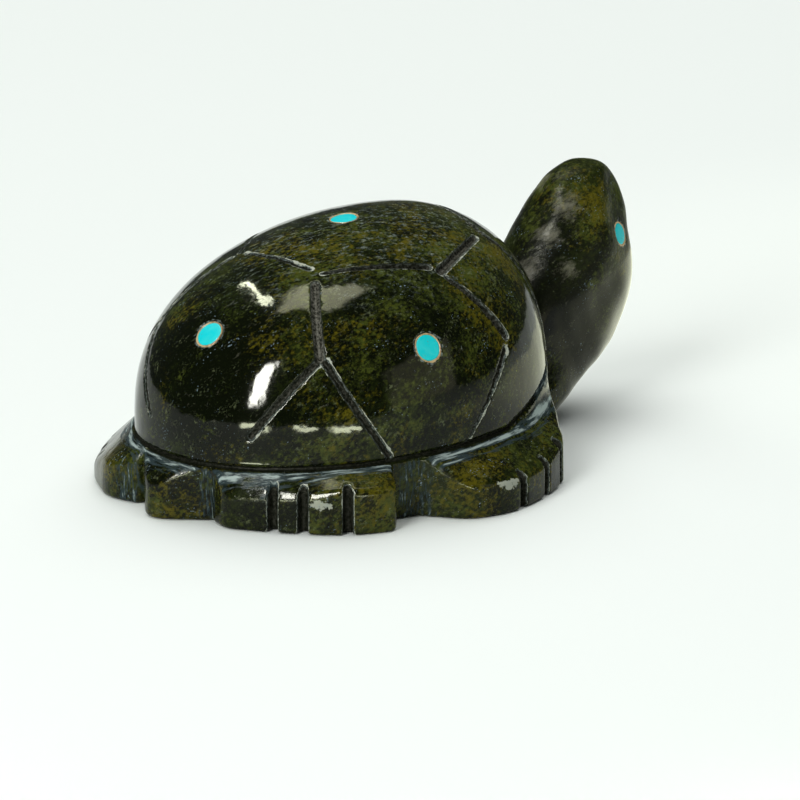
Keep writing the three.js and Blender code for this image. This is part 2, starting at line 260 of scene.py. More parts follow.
def shell_level(s, x, y, z):
    """The shell's level function q^dome_reach + part^dome_rise - low^dome_reach, where q is how far out
    a point lies on its ring and low is the tuck under the widest ring. 0 is the surface.
    Returns it with its gradient."""
    part, lean, lean_slope = shell_lean(s, z)
    below = np.clip(1 - z / s.widest_level, 0, None)
    tuck = 2 * s.rim_tuck / s.width
    low = 1 - tuck * below ** 2
    a, b = s.length / 2, s.width / 2
    u, v = (x - lean) / a, y / b
    q = np.sqrt(u * u + v * v) + 1e-4
    level = q ** s.dome_reach + part ** s.dome_rise - low ** s.dome_reach
    pull = s.dome_reach * q ** (s.dome_reach - 2)
    gx = pull * u / a
    gy = pull * v / b
    gz = (s.dome_rise * part ** (s.dome_rise - 1) / (s.height - s.widest_level) - gx * lean_slope
          - s.dome_reach * low ** (s.dome_reach - 1) * 2 * tuck * below / s.widest_level)
    return level, gx, gy, gz


def shell_distance(s, x, y, z):
    """Distance to the shell: its level function over the length of its gradient."""
    level, gx, gy, gz = shell_level(s, x, y, z)
    steep = np.sqrt(gx * gx + gy * gy + gz * gz)
    return level / np.maximum(steep, 0.6 / s.length)


def shell_normal(s, points):
    gradient = np.stack(shell_level(s, *points.T)[1:], axis=-1)
    return gradient / np.linalg.norm(gradient, axis=-1, keepdims=True)


def shell_through(s, points):
    """Points moved straight out from the shell's inner middle until they meet its surface, by halving."""
    middle = np.array([s.crown_forward / 2, 0, s.height / 3])
    way = points - middle
    way /= np.linalg.norm(way, axis=-1, keepdims=True)
    near, far = np.zeros(len(points)), np.full(len(points), s.length)
    for _ in range(40):
        half = (near + far) / 2
        place = middle + way * half[:, None]
        inside = (shell_level(s, *place.T)[0] < 0) & (place[:, 2] < s.height)
        near, far = np.where(inside, half, near), np.where(inside, far, half)
    return middle + way * near[:, None]


def ledge_height(s, x):
    """Where the feet's tops meet the shell: level but for a gentle rise up to the shoulder."""
    return s.rim_level + s.rim_slope * (np.minimum(x, s.shoulder_reach) + s.length / 2)


def rim_height(s, x):
    """Where the shell ends: the ledge's height, climbing over the neck from the shoulder."""
    return ledge_height(s, x) + s.rim_climb * np.maximum(0, x - s.shoulder_reach)


# The feet and tail

# Corners in plan, as shares of the shell's half length and half width, each with the reach of its rounding
# as a share of the half width. All lie on the right side, and the left hind foot is mirrored.
HIND_FOOT = [(-0.965, -0.25, 0.02), (-0.995, -0.38, 0.06), (-0.865, -0.68, 0.3), (-0.7, -0.945, 0.2),
             (-0.5, -1.06, 0.06), (-0.4, -0.85, 0.007), (-0.7, -0.1, 0.007)]
FRONT_FOOT = [(-0.29, -0.93, 0.02), (-0.17, -1.19, 0.1), (0.04, -1.275, 0.2), (0.33, -1.18, 0.159),
              (0.52, -1.07, 0.079), (0.655, -0.83, 0.053), (0.55, -0.4, 0.007), (0, -0.4, 0.007)]
LEFT_HIND_FOOT = [(-1.015, -0.29, 0.033), (-1.045, -0.5, 0.106), (-0.87, -0.87, 0.172),
                  (-0.55, -1.09, 0.053), (-0.4, -0.85, 0.007), (-0.7, -0.1, 0.007)]
HIND_TOES = (0.164, 0.23, 0.327)
LEFT_HIND_TOES = (0.23, 0.29, 0.35)
FRONT_TOES = (0.207, 0.286, 0.355)

# How steeply the tops of feet and tail fall away from the rim: bearings, 0 at the tail and negative on the
# left, each with the slope there.
TOP_SLOPES = np.array([
    (-180, 0.55), (-118, 0.55), (-106, 0.8), (-90, 0.7), (-76, 0.85), (-45, 1.0), (-27, 0.72), (-10, 0.85),
    (4, 0.78), (13, 0.9), (20, 1.7), (30, 1.4), (41, 0.95), (52, 0.5), (66, 0.55), (76, 0.85), (90, 0.7),
    (106, 0.8), (118, 0.55), (180, 0.55)])


def rounded_outline(s, corners, steps=6):
    """A closed outline: at each corner a parabola joins the points that lie its reach away on both sides."""
    corners = np.array(corners)
    here = corners[:, :2] * (s.length / 2, s.width / 2)
    ends = []
    for step in (1, -1):
        side = np.roll(here, step, axis=0) - here
        span = np.linalg.norm(side, axis=1)
        ends.append(here + side * (np.minimum(corners[:, 2] * s.width / 2, span / 2) / span)[:, None])
    t = np.linspace(0, 1, steps + 1)[None, :, None]
    start, end, middle = ends[0][:, None], ends[1][:, None], here[:, None]
    return ((1 - t) ** 2 * start + 2 * t * (1 - t) * middle + t ** 2 * end).reshape(-1, 2)


def plan_distance(x, y, outline):
    """Distance in plan to a closed outline, negative inside: the nearest of its sides, with the sign from
    how often a line towards +X crosses it."""
    nearest = np.full(np.broadcast(x, y).shape, 1.0)
    inside = np.zeros(nearest.shape, bool)
    for a, b in zip(outline, np.roll(outline, -1, axis=0)):
        side = b - a
        along = np.clip(((x - a[0]) * side[0] + (y - a[1]) * side[1]) / (side @ side + 1e-12), 0, 1)
        nearest = np.minimum(
            nearest, (x - a[0] - along * side[0]) ** 2 + (y - a[1] - along * side[1]) ** 2)
        if a[1] != b[1]:
            crosses = (a[1] > y) != (b[1] > y)
            inside ^= crosses & (x < a[0] + (y - a[1]) * side[0] / side[1])
    return np.where(inside, -1, 1) * np.sqrt(nearest)


def toe_cuts(f, x, y, outline, shares):
    """Distance in plan to the slots between toes: each starts square to the outline at a share of its
    length, and narrows from its mouth to its floor."""
    steps = np.linalg.norm(np.roll(outline, -1, axis=0) - outline, axis=1)
    travelled = np.concatenate([[0], np.cumsum(steps)])
    closed = np.vstack([outline, outline[:1]])
    cuts = np.full(np.broadcast(x, y).shape, 1.0)
    for part in shares:
        at = part * travelled[-1]
        mouth = np.array([np.interp(at, travelled, closed[:, i]) for i in (0, 1)])
        i = np.searchsorted(travelled, at) - 1
        way = (closed[i + 1] - closed[i]) / np.linalg.norm(closed[i + 1] - closed[i])
        side = (x - mouth[0]) * way[0] + (y - mouth[1]) * way[1]
        out = (x - mouth[0]) * way[1] - (y - mouth[1]) * way[0]
        open_to = np.clip(1 + out / f.toe_depth, 0, 1.3)
        half = f.toe_width / 2 * (f.toe_floor + (1 - f.toe_floor) * open_to)
        cuts = np.minimum(cuts, smooth_max(np.abs(side) - half, -(out + f.toe_depth), 0.25 * MM))
    return cuts


def feet_plan(s, f, x, y):
    """Distance in plan to the feet and tail, negative inside, and to the toe cuts."""
    tip = -f.tail_reach / (s.length / 2)
    tail = [(tip, 0.09, 0.08), (0.99 * tip, -0.01, 0.06), (-0.965, -0.205, 0.02), (-0.7, -0.2, 0.007),
            (-0.7, 0.2, 0.007), (-0.985, 0.265, 0.026)]
    solid = plan_distance(x, y, rounded_outline(s, tail))
    cuts = np.full(solid.shape, 1.0)
    feet = [(HIND_FOOT, HIND_TOES, 1), (FRONT_FOOT, FRONT_TOES, 1),
            (LEFT_HIND_FOOT, LEFT_HIND_TOES, -1), (FRONT_FOOT, FRONT_TOES, -1)]
    for corners, toes, side in feet:
        outline = rounded_outline(s, corners)
        solid = np.minimum(solid, plan_distance(x, y * side, outline))
        cuts = np.minimum(cuts, toe_cuts(f, x, y * side, outline, toes))
    return solid, cuts


def feet_roof(s, x, y):
    """Height of the feet's tops and their slope: the ledge's height inside the shell's oval, and falling
    at the bearing's slope along the line out from the shell's middle."""
    u, v = x * 2 / s.length, y * 2 / s.width
    outside = np.maximum(np.sqrt(u * u + v * v), 1)
    out = np.sqrt(x * x + y * y) * (1 - 1 / outside)
    slope = np.interp(np.degrees(np.arctan2(-v, -u)), TOP_SLOPES[:, 0], TOP_SLOPES[:, 1])
    return ledge_height(s, x / outside) - slope * out, slope


# The neck and head

# Level sections from the chest to the snout: nape and throat as shares of the head's reach, height as a
# share of the head's height, half width as a share of the neck's.
HEAD_SECTIONS = np.array([
    (0.3, 0.64, 0.0, 1.16), (0.33, 0.74, 0.091, 1.08), (0.36, 0.88, 0.202, 0.98), (0.41, 0.952, 0.293, 0.93),
    (0.46, 0.992, 0.404, 0.94), (0.52, 1.0, 0.515, 0.97), (0.572, 0.99, 0.613, 1.0),
    (0.625, 0.976, 0.702, 0.97), (0.672, 0.971, 0.803, 0.83), (0.712, 0.957, 0.898, 0.62),
    (0.738, 0.945, 1.0, 0.5)])
# Places as shares of the head's reach or height
CAP_REACH = 0.841  # where the head's top is highest
EYE_REACH = 0.882
EYE_LEVEL = 0.7145
MOUTH_LEVEL = 0.898
CAP_BEND = (98, 197)  # how fast the top falls away along and across, in 1/m
# Reach of the roundings where the top and the cheek facets cut the head, in millimetres
CAP_FILLET = 0.9
CHEEK_FILLET = 0.3


def through(levels, values, z):
    """Values at heights z on a smooth cubic curve through the sections, and their slopes. The tangent at
    a section is the weighted mean of the slopes on both sides of it."""
    tangents = np.gradient(values, levels)
    z = np.clip(z, levels[0], levels[-1])
    i = np.clip(np.searchsorted(levels, z) - 1, 0, len(levels) - 2)
    h = (levels[1:] - levels[:-1])[i]
    t = (z - levels[i]) / h
    a, b, m, n = values[i], values[i + 1], tangents[i] * h, tangents[i + 1] * h
    value = (((2 * t - 3) * t * t + 1) * a + ((t - 2) * t + 1) * t * m + (3 - 2 * t) * t * t * b
             + (t - 1) * t * t * n)
    slope = (6 * (t - 1) * t * (a - b) + ((3 * t - 4) * t + 1) * m + (3 * t - 2) * t * n) / h
    return value, slope


def cheek_normal(h, side):
    """Outward normal of a cheek facet, side 1 for the left and -1 for the right."""
    across = math.cos(h.cheek_tilt)
    return np.array([math.sin(h.cheek_turn) * across, side * math.cos(h.cheek_turn) * across,
                     math.sin(h.cheek_tilt)])


def eye_point(h, side):
    return np.array([EYE_REACH * HEAD_REACH, side * h.cheek_width / 2, EYE_LEVEL * h.height])


def head_distance(h, x, y, z):
    """Distance to the neck and head: ovals through the sections, under a domed cap and ground flat on
    both cheeks. The oval's level is divided by the length of its gradient. The cap is
    z = height - bend.(x^2, y^2) about its top."""
    levels = HEAD_SECTIONS[:, 2] * h.height
    nape, nape_slope = through(levels, HEAD_SECTIONS[:, 0] * HEAD_REACH, z)
    throat, throat_slope = through(levels, HEAD_SECTIONS[:, 1] * HEAD_REACH, z)
    half, half_slope = through(levels, HEAD_SECTIONS[:, 3] * h.neck_width / 2, z)
    reach = (throat - nape) / 2
    u = (x - (throat + nape) / 2) / reach
    v = y / half
    q = np.sqrt(u * u + v * v) + 1e-4
    gx, gy = u / reach / q, v / half / q
    middle_slope, reach_slope = (throat_slope + nape_slope) / 2, u * (throat_slope - nape_slope) / 2
    gz = -(gx * (middle_slope + reach_slope) + gy * v * half_slope)
    d = (q - 1) / np.sqrt(gx * gx + gy * gy + gz * gz)
    forward = x - CAP_REACH * HEAD_REACH
    cap = z - h.height + CAP_BEND[0] * forward ** 2 + CAP_BEND[1] * y * y
    cap = cap / np.sqrt(1 + 4 * (CAP_BEND[0] * forward) ** 2 + 4 * (CAP_BEND[1] * y) ** 2)
    d = smooth_max(d, cap, CAP_FILLET * MM)
    for side in (1, -1):
        eye, normal = eye_point(h, side), cheek_normal(h, side)
        facet = (x - eye[0]) * normal[0] + (y - eye[1]) * normal[1] + (z - eye[2]) * normal[2]
        d = smooth_max(d, facet, CHEEK_FILLET * MM)
    return d


# The grooves

# Each scute groove has a start and an end, a height as a share of the shell's with a bearing, and the
# share of its full width there. Then come how dull its floor was left, which is how much of it shows grey
# ground stone rather than the painted shade of the darkest green, and how bruised its edges are on the
# left and the right of someone who follows it, which also paints light on the wall inside that edge, all
# from 0 to 1. The right side is given, and the left mirrors its side grooves.
SCUTE_GROOVES = [
    ((0.879, -26), (0.881, 24), 0.45, 0.6, 0.1, 0.65, 0.3),
    ((0.905, 132), (0.905, 228), 0.9, 0.9, 0.5, 0.4, 0.4),
    ((0.843, 31.6), (0.629, 43.4), 0.9, 0.95, 1.0, 0.15, 0.1),
    ((0.613, 42.9), (0.346, 26.5), 0.75, 0.75, 0.4, 0.6, 0.1),
    ((0.613, 45.1), (0.252, 64.7), 0.8, 0.7, 0.25, 0.5, 0.3),
    ((0.853, -32), (0.638, -35), 0.7, 0.8, 0.5, 0.6, 0.5),
    ((0.61, -34), (0.35, -13.5), 0.8, 0.6, 0.2, 0.2, 0.4),
    ((0.61, -38), (0.26, -56), 0.8, 0.7, 0.4, 0.4, 0.3)]
SIDE_GROOVES = [
    ((0.871, 31.7), (0.869, 79.5), 0.45, 0.85, 0.25, 0.15, 0.3),
    ((0.85, 85), (0.903, 120.3), 1.0, 0.85, 0.6, 0.35, 0.6),
    ((0.829, 86.7), (0.599, 105.8), 0.6, 0.95, 0.35, 0.5, 0.15),
    ((0.552, 104.6), (0.257, 88.1), 0.8, 0.35, 0.35, 0.65, 0.1),
    ((0.892, 131), (0.455, 138), 0.8, 0.8, 0.4, 0.4, 0.3)]
GROOVE_STEPS = 10


def all_grooves(s):
    """Every scute groove as points on the shell, their normals, its share of the full width there, and its
    finish: dullness, against the painted shade of its floor, and bruising on the left and right, which also
    paints light on the wall inside that edge."""
    mirrored = [((a[0], -a[1]), (b[0], -b[1]), first, last, dull, right, left)
                for a, b, first, last, dull, left, right in SIDE_GROOVES]
    grooves = []
    for start, end, first, last, *finish in SCUTE_GROOVES + SIDE_GROOVES + mirrored:
        t = np.linspace(0, 1, GROOVE_STEPS + 1)[:, None]
        line = shell_through(s, (1 - t) * shell_point(s, *start) + t * shell_point(s, *end))
        grooves.append((line, shell_normal(s, line), first + (last - first) * t[:, 0], finish))
    return grooves


def mouth_line(h):
    """The line across the snout: an arc of the head's oval at the mouth's level, narrower at both ends."""
    levels = HEAD_SECTIONS[:, 2]
    nape, throat, half = (np.interp(MOUTH_LEVEL, levels, HEAD_SECTIONS[:, i]) for i in (0, 1, 3))
    turn = np.linspace(-h.mouth_turn, h.mouth_turn, GROOVE_STEPS + 1)
    middle, reach = (nape + throat) / 2 * HEAD_REACH, (throat - nape) / 2 * HEAD_REACH
    line = np.stack([middle + reach * np.cos(turn), half * h.neck_width / 2 * np.sin(turn),
                     np.full(turn.shape, MOUTH_LEVEL * h.height)], axis=-1)
    normals = line - np.array([middle, 0, MOUTH_LEVEL * h.height])
    shares = 1 - 0.8 * (turn / h.mouth_turn) ** 4
    return line, normals / np.linalg.norm(normals, axis=1, keepdims=True), shares


def groove_edge(p, line, normals, widths, width):
    """How far points lie outside a groove's edge, negative inside: the nearest stretch of its line, seen
    along the surface's normal there, less the groove's half width. Also the share of its width there, how
    far left of the line a point lies, and how far along the line, as a share."""
    nearest = np.full(len(p), 1.0)
    full, left, along = np.zeros(len(p)), np.zeros(len(p)), np.zeros(len(p))
    for i in range(len(line) - 1):
        side = line[i + 1] - line[i]
        v = p - line[i]
        t = np.clip(v @ side / (side @ side), 0, 1)
        v = v - t[:, None] * side
        normal = normals[i] + normals[i + 1]
        normal /= np.linalg.norm(normal)
        across = np.sqrt(np.maximum((v * v).sum(1) - (v @ normal) ** 2, 0))
        part = widths[i] + (widths[i + 1] - widths[i]) * t
        edge = across - part * width / 2
        closer = edge < nearest
        full = np.where(closer, part, full)
        left = np.where(closer, v @ np.cross(normal, side / np.linalg.norm(side)), left)
        along = np.where(closer, (i + t) / (len(line) - 1), along)
        nearest = np.where(closer, edge, nearest)
    return nearest, full, left, along


def nearby(p, line, margin):
    """Which points lie in the box round a line, with a margin."""
    return np.all((p > line.min(0) - margin) & (p < line.max(0) + margin), axis=1)


def rim_edge(s, c, x, y, z):
    """How far points lie from the edge of the groove under the rim, negative inside."""
    off = np.abs(z - rim_height(s, x)) / math.sqrt(1 + s.rim_climb ** 2)
    neck = smooth_step(0.9, 1.0, np.arctan2(np.abs(y) / s.width, -x / s.length) / math.radians(150))
    return off - c.rim_width / 2 * (1 - neck)


def channel(edge, wall, depth):
    """A groove's cut: nothing at its edge, full depth a wall's width inside it."""
    return depth * smooth_step(0, wall, -edge)


# The whole stone

# Reach of the roundings where forms meet, in millimetres
TOE_FILLET = 0.2
LEDGE_FILLET = 0.5
SHOULDER_FILLET = 2.0  # comes on top of the ledge's at the shoulders
NECK_FILLET = 0.7
GROUND_FILLET = 0.45

# Where the plugs on the shell sit: a share of its height, and a bearing.
INLAY_PLACES = [("inlay_crown", 0.986, -5), ("inlay_rear", 0.675, 2), ("inlay_right", 0.628, 76),
                ("inlay_left", 0.628, -76)]

SOCKET_BOX = 3 * MM  # half of a box that holds a whole socket
GROOVE_MARGIN = 1.2 * MM  # how far from its line a groove is cut
CARVED_BAND = 0.9 * MM  # how far from the block's surface the carving is worked out
SLOPE_STEP = 0.06 * MM  # how far from a point its slope is measured
FINE_MESH = (0.2 * MM, 188000)


def low_plan(s, f, x, y, z):
    """The plan distances of feet and toe cuts for points near the ground, and a centimetre for all above."""
    solid, cuts = np.full(len(z), 0.01), np.full(len(z), 0.01)
    low = z < 2 * s.rim_level
    solid[low], cuts[low] = feet_plan(s, f, x[low], y[low])
    return solid, cuts


def stone_block(t, x, y, z, plan):
    """Distance to the stone before the scute grooves and sockets: shell and feet blended at a small
    fillet, the groove under the rim, the neck, and the flat underside."""
    s, f, h, c = t.shell, t.feet, t.head, t.cuts
    solid, cuts = plan
    top, slope = feet_roof(s, x, y)
    roof = (z - top) / np.sqrt(1 + slope * slope)
    feet = smooth_max(smooth_max(solid, roof, f.edge), -cuts, TOE_FILLET * MM)
    shoulder = smooth_step(7 * MM, 13 * MM, x)
    fillet = (LEDGE_FILLET + SHOULDER_FILLET * shoulder) * MM
    stone = smooth_min(shell_distance(s, x, y, z), feet, fillet)
    stone = stone + channel(rim_edge(s, c, x, y, z), c.wall, c.rim_depth)
    stone = smooth_min(stone, head_distance(h, x, y, z), NECK_FILLET * MM)
    return smooth_max(stone, -z, GROUND_FILLET * MM)


def sockets(t):
    """Each inlay's node, middle, outward normal and diameter."""
    s, h, i = t.shell, t.head, t.inlays
    found = []
    for name, level, bearing in INLAY_PLACES:
        point = shell_point(s, level, bearing)
        found.append((name, point, shell_normal(s, point[None])[0], i.diameter))
    for name, side in (("eye_right", -1), ("eye_left", 1)):
        found.append((name, eye_point(h, side), cheek_normal(h, side), i.eye_diameter))
    return found


def drilled(t, v, normal, diameter):
    """Distance to a socket, negative inside, at points v from its middle: a cylinder as much wider and
    deeper than the plug as the bond is wide."""
    depth = v @ normal
    across = np.sqrt(np.maximum((v * v).sum(-1) - depth ** 2, 0))
    return np.maximum(across - diameter / 2 - t.inlays.bond, -(depth + t.inlays.depth + t.inlays.bond))


def carved(t, p, grooves, plan=None):
    """Distance to the finished stone at points near it: the block with waves from grinding, less the
    grooves, whose edges wander a little, and the drilled sockets."""
    s, h, c = t.shell, t.head, t.cuts
    x, y, z = p.T
    stone = stone_block(t, x, y, z, plan or low_plan(s, t.feet, x, y, z))
    above = smooth_step(0, 3 * MM, z)
    stone = stone + s.unevenness * ripple(x, y, z, 8 * MM, 3) * above
    stone = stone + 0.12 * s.unevenness * ripple(x, y, z, 2.2 * MM, 5) * above
    on_head = smooth_step(19 * MM, 24 * MM, x)
    dents = ripple(x, y, z, 4.5 * MM, 17) + 0.4 * ripple(x, y, z, 2.4 * MM, 19)
    stone = stone + h.unevenness * on_head * dents
    wander = 0.05 * MM * ripple(x, y, z, 1.1 * MM, 11)
    for line, normals, widths, _ in grooves:
        near = nearby(p, line, GROOVE_MARGIN)
        edge, full, _, _ = groove_edge(p[near], line, normals, widths, c.groove_width)
        stone[near] += channel(edge + wander[near], c.wall, c.groove_depth * np.sqrt(full))
    line, normals, widths = mouth_line(h)
    near = nearby(p, line, MM)
    edge = groove_edge(p[near], line, normals, widths, h.mouth_width)[0]
    stone[near] += channel(edge, c.wall, h.mouth_depth)
    for _, point, normal, diameter in sockets(t):
        near = nearby(p, point[None], SOCKET_BOX)
        stone[near] = smooth_max(stone[near], -drilled(t, p[near] - point, normal, diameter), 0.06 * MM)
    return stone


def stone_surface(t, voxel):
    """The stone as points and faces where its distance on a fine grid passes 0. The carving is worked out
    close to the block's surface only."""
    low = np.array(CAD_BOX[0]) - (SHELL_MIDDLE, 0, 0) - 4 * voxel
    high = np.array(CAD_BOX[1]) - (SHELL_MIDDLE, 0, 0) + 4 * voxel
    x, y, z = (np.arange(low[i], high[i], voxel) for i in range(3))
    plan = feet_plan(t.shell, t.feet, x[:, None], y[None, :])
    block = stone_block(t, x[:, None, None], y[None, :, None], z[None, None, :],
                        [part[:, :, None] for part in plan])
    close = np.nonzero(np.abs(block) < CARVED_BAND)
    p = np.stack([x[close[0]], y[close[1]], z[close[2]]], axis=-1)
    grooves = all_grooves(t.shell)
    block[close] = carved(t, p, grooves, [part[close[0], close[1]] for part in plan])
    for _, point, normal, diameter in sockets(t):
        deep = [np.nonzero(np.abs(axis - point[i]) < SOCKET_BOX)[0] for i, axis in enumerate((x, y, z))]
        box = np.ix_(*deep)
        v = np.stack(np.meshgrid(x[deep[0]], y[deep[1]], z[deep[2]], indexing="ij"), axis=-1) - point
        block[box] = np.maximum(block[box], -drilled(t, v, normal, diameter))
    grid = vdb.FloatGrid(background=1.0)
    grid.copyFromArray((block / voxel).astype(np.float32))
    points, triangles, quads = grid.convertToPolygons(isovalue=0.0, adaptivity=0.0)
    return low + points.astype(float) * voxel, triangles, quads, grooves


def gradient(t, p, grooves):
    """Slope of the stone's distance, from its values a step away on both sides along each axis."""
    slope = np.empty(p.shape)
    for axis in range(3):
        off = np.zeros(3)
        off[axis] = SLOPE_STEP
        slope[:, axis] = carved(t, p + off, grooves) - carved(t, p - off, grooves)
    return slope / (2 * SLOPE_STEP)


# Wear, and painted light and shade

FAR = 2 * MM  # stands for everything further from an edge
WEAR_MARGIN = 1.6 * MM  # how far from its line a groove counts
# How bruised the top edge of the feet and tail is, and how strongly a highlight is painted along it:
# bearings as for the slopes, each with a share.
CREST_BRUISES_AND_GLINTS = np.array([
    (-180, 0.45), (-40, 0.4), (0, 0.3), (16, 0.42), (22, 0.8), (60, 0.8), (66, 0.25), (76, 0.5), (100, 0.55),
    (180, 0.45)])
# Where the walls between feet and tail were scraped from top to bottom: bearings, each with a share.
WALL_SCRAPES = np.array([
    (-180, 0), (-79, 0), (-75, 0.8), (-68, 0.8), (-64, 0), (-24, 0), (-21, 0.9), (-16, 0.9), (-14, 0),
    (8, 0), (11, 0.9), (15, 0.9), (17, 0), (64, 0), (68, 0.9), (75, 0.8), (79, 0), (180, 0)])
# Where the stone's clouds are lighter or darker, and painted shade on the neck under the head: places
# and how far they reach, in millimetres, and how much lighter.
CLOUDS_AND_SHADE = [((-16.4, -3.5, 10.8), 8, -1.0), ((-11.7, -7.5, 15.6), 3.5, 0.6), ((8.3, -7.6, 17.3), 5, 0.7),
          ((1.9, -2.9, 21.2), 8, 0.25), ((-7.5, -12.2, 13.4), 5, -0.5), ((2, -13.5, 12), 5, -0.4),
          # At (21.9, -4, 10.2): painted shade on the neck under the head
          ((-8, -17, 2), 6, 0.5), ((21.9, -4, 10.2), 6, -1.2), ((27, -3, 18), 5, 0.5)]
# Painted highlights on the neck and head, pale patches where the worn polish catches the light: places
# and how far they reach, in millimetres.
PAINTED_HEAD_HIGHLIGHTS = [((24.7, -2.2, 18.6), 1.3), ((22.7, -1.9, 16.4), 1.1), ((20.4, -1.8, 13.8), 1.0),
           ((23.1, -3.9, 13.7), 0.8), ((25.1, 1.5, 20.3), 1.2), ((22, 3.5, 14), 1.2)]
# Painted highlights on the walls of the feet, light grey: bearing, height, and half length and half height.
PAINTED_FOOT_GLINTS = [(46.5, 2.5, 1.2, 0.7), (92, 2.7, 1.6, 0.8), (-43, 2.4, 1.2, 0.7), (-100, 2.6, 1.3, 0.8)]


def spot(p, place, spread):
    """How near points are to a place: 1 there, and fading out as a bell over a spread in millimetres."""
    off = np.linalg.norm(p - np.array(place) * MM, axis=1)
    return np.exp(-(off / (spread * MM)) ** 2)


def nearest_cut(t, p, grooves, low, toes):
    """How far the edge of the nearest cut is, negative inside it, how dull its floor is, the rest of it being
    painted shade, and how bruised its edges are, which also paints light on the wall inside them. Points near
    the ground, by their numbers in low, also have their distance to the toe cuts."""
    s, h, c = t.shell, t.head, t.cuts
    cut, dull, bruise_and_light = np.full(len(p), FAR), np.zeros(len(p)), np.zeros(len(p))

    def cut_by(where, distance, floor, lips):
        closer = distance < cut[where]
        for values, new in ((cut, distance), (dull, floor), (bruise_and_light, lips)):
            values[where] = np.where(closer, new, values[where])

    for line, normals, widths, (floor, left_lip, right_lip) in grooves:
        near = np.nonzero(nearby(p, line, WEAR_MARGIN))[0]
        distance, _, left, along = groove_edge(p[near], line, normals, widths, c.groove_width)
        run = np.linalg.norm(line[-1] - line[0]) * np.minimum(along, 1 - along)
        lips = np.where(left > 0, left_lip, right_lip) + 0.2 * smooth_step(0.8 * MM, 0, run)
        cut_by(near, distance, floor, lips)
    # The groove under the rim: its floor mostly painted shade, its edges unbruised
    cut_by(np.arange(len(p)), rim_edge(s, c, *p.T) + 0.15 * MM, 0.15, 0.0)
    line, normals, widths = mouth_line(h)
    near = np.nonzero(nearby(p, line, WEAR_MARGIN))[0]
    cut_by(near, groove_edge(p[near], line, normals, widths, h.mouth_width)[0], 0.6, 0.4)
    cut_by(low, toes, 0.2, 0.6)
    return cut, dull, bruise_and_light


def streaked(s, x, y, tops, over_rim, bearing):
    """Where grinding left streaks: along the ledge and over the shoulders, and down the walls."""
    shoulder = (smooth_step(8 * MM, 10 * MM, x) * smooth_step(0.2 * s.width, 0.3 * s.width, np.abs(y))
                * smooth_step(-4 * MM, -1.5 * MM, over_rim) * (over_rim < 0))
    rub = np.interp(bearing, WALL_SCRAPES[:, 0], WALL_SCRAPES[:, 1])
    rub *= smooth_step(0, 0.5 * MM, -over_rim) * (tops < 0.3)
    return np.maximum(tops, 0.8 * shoulder), rub


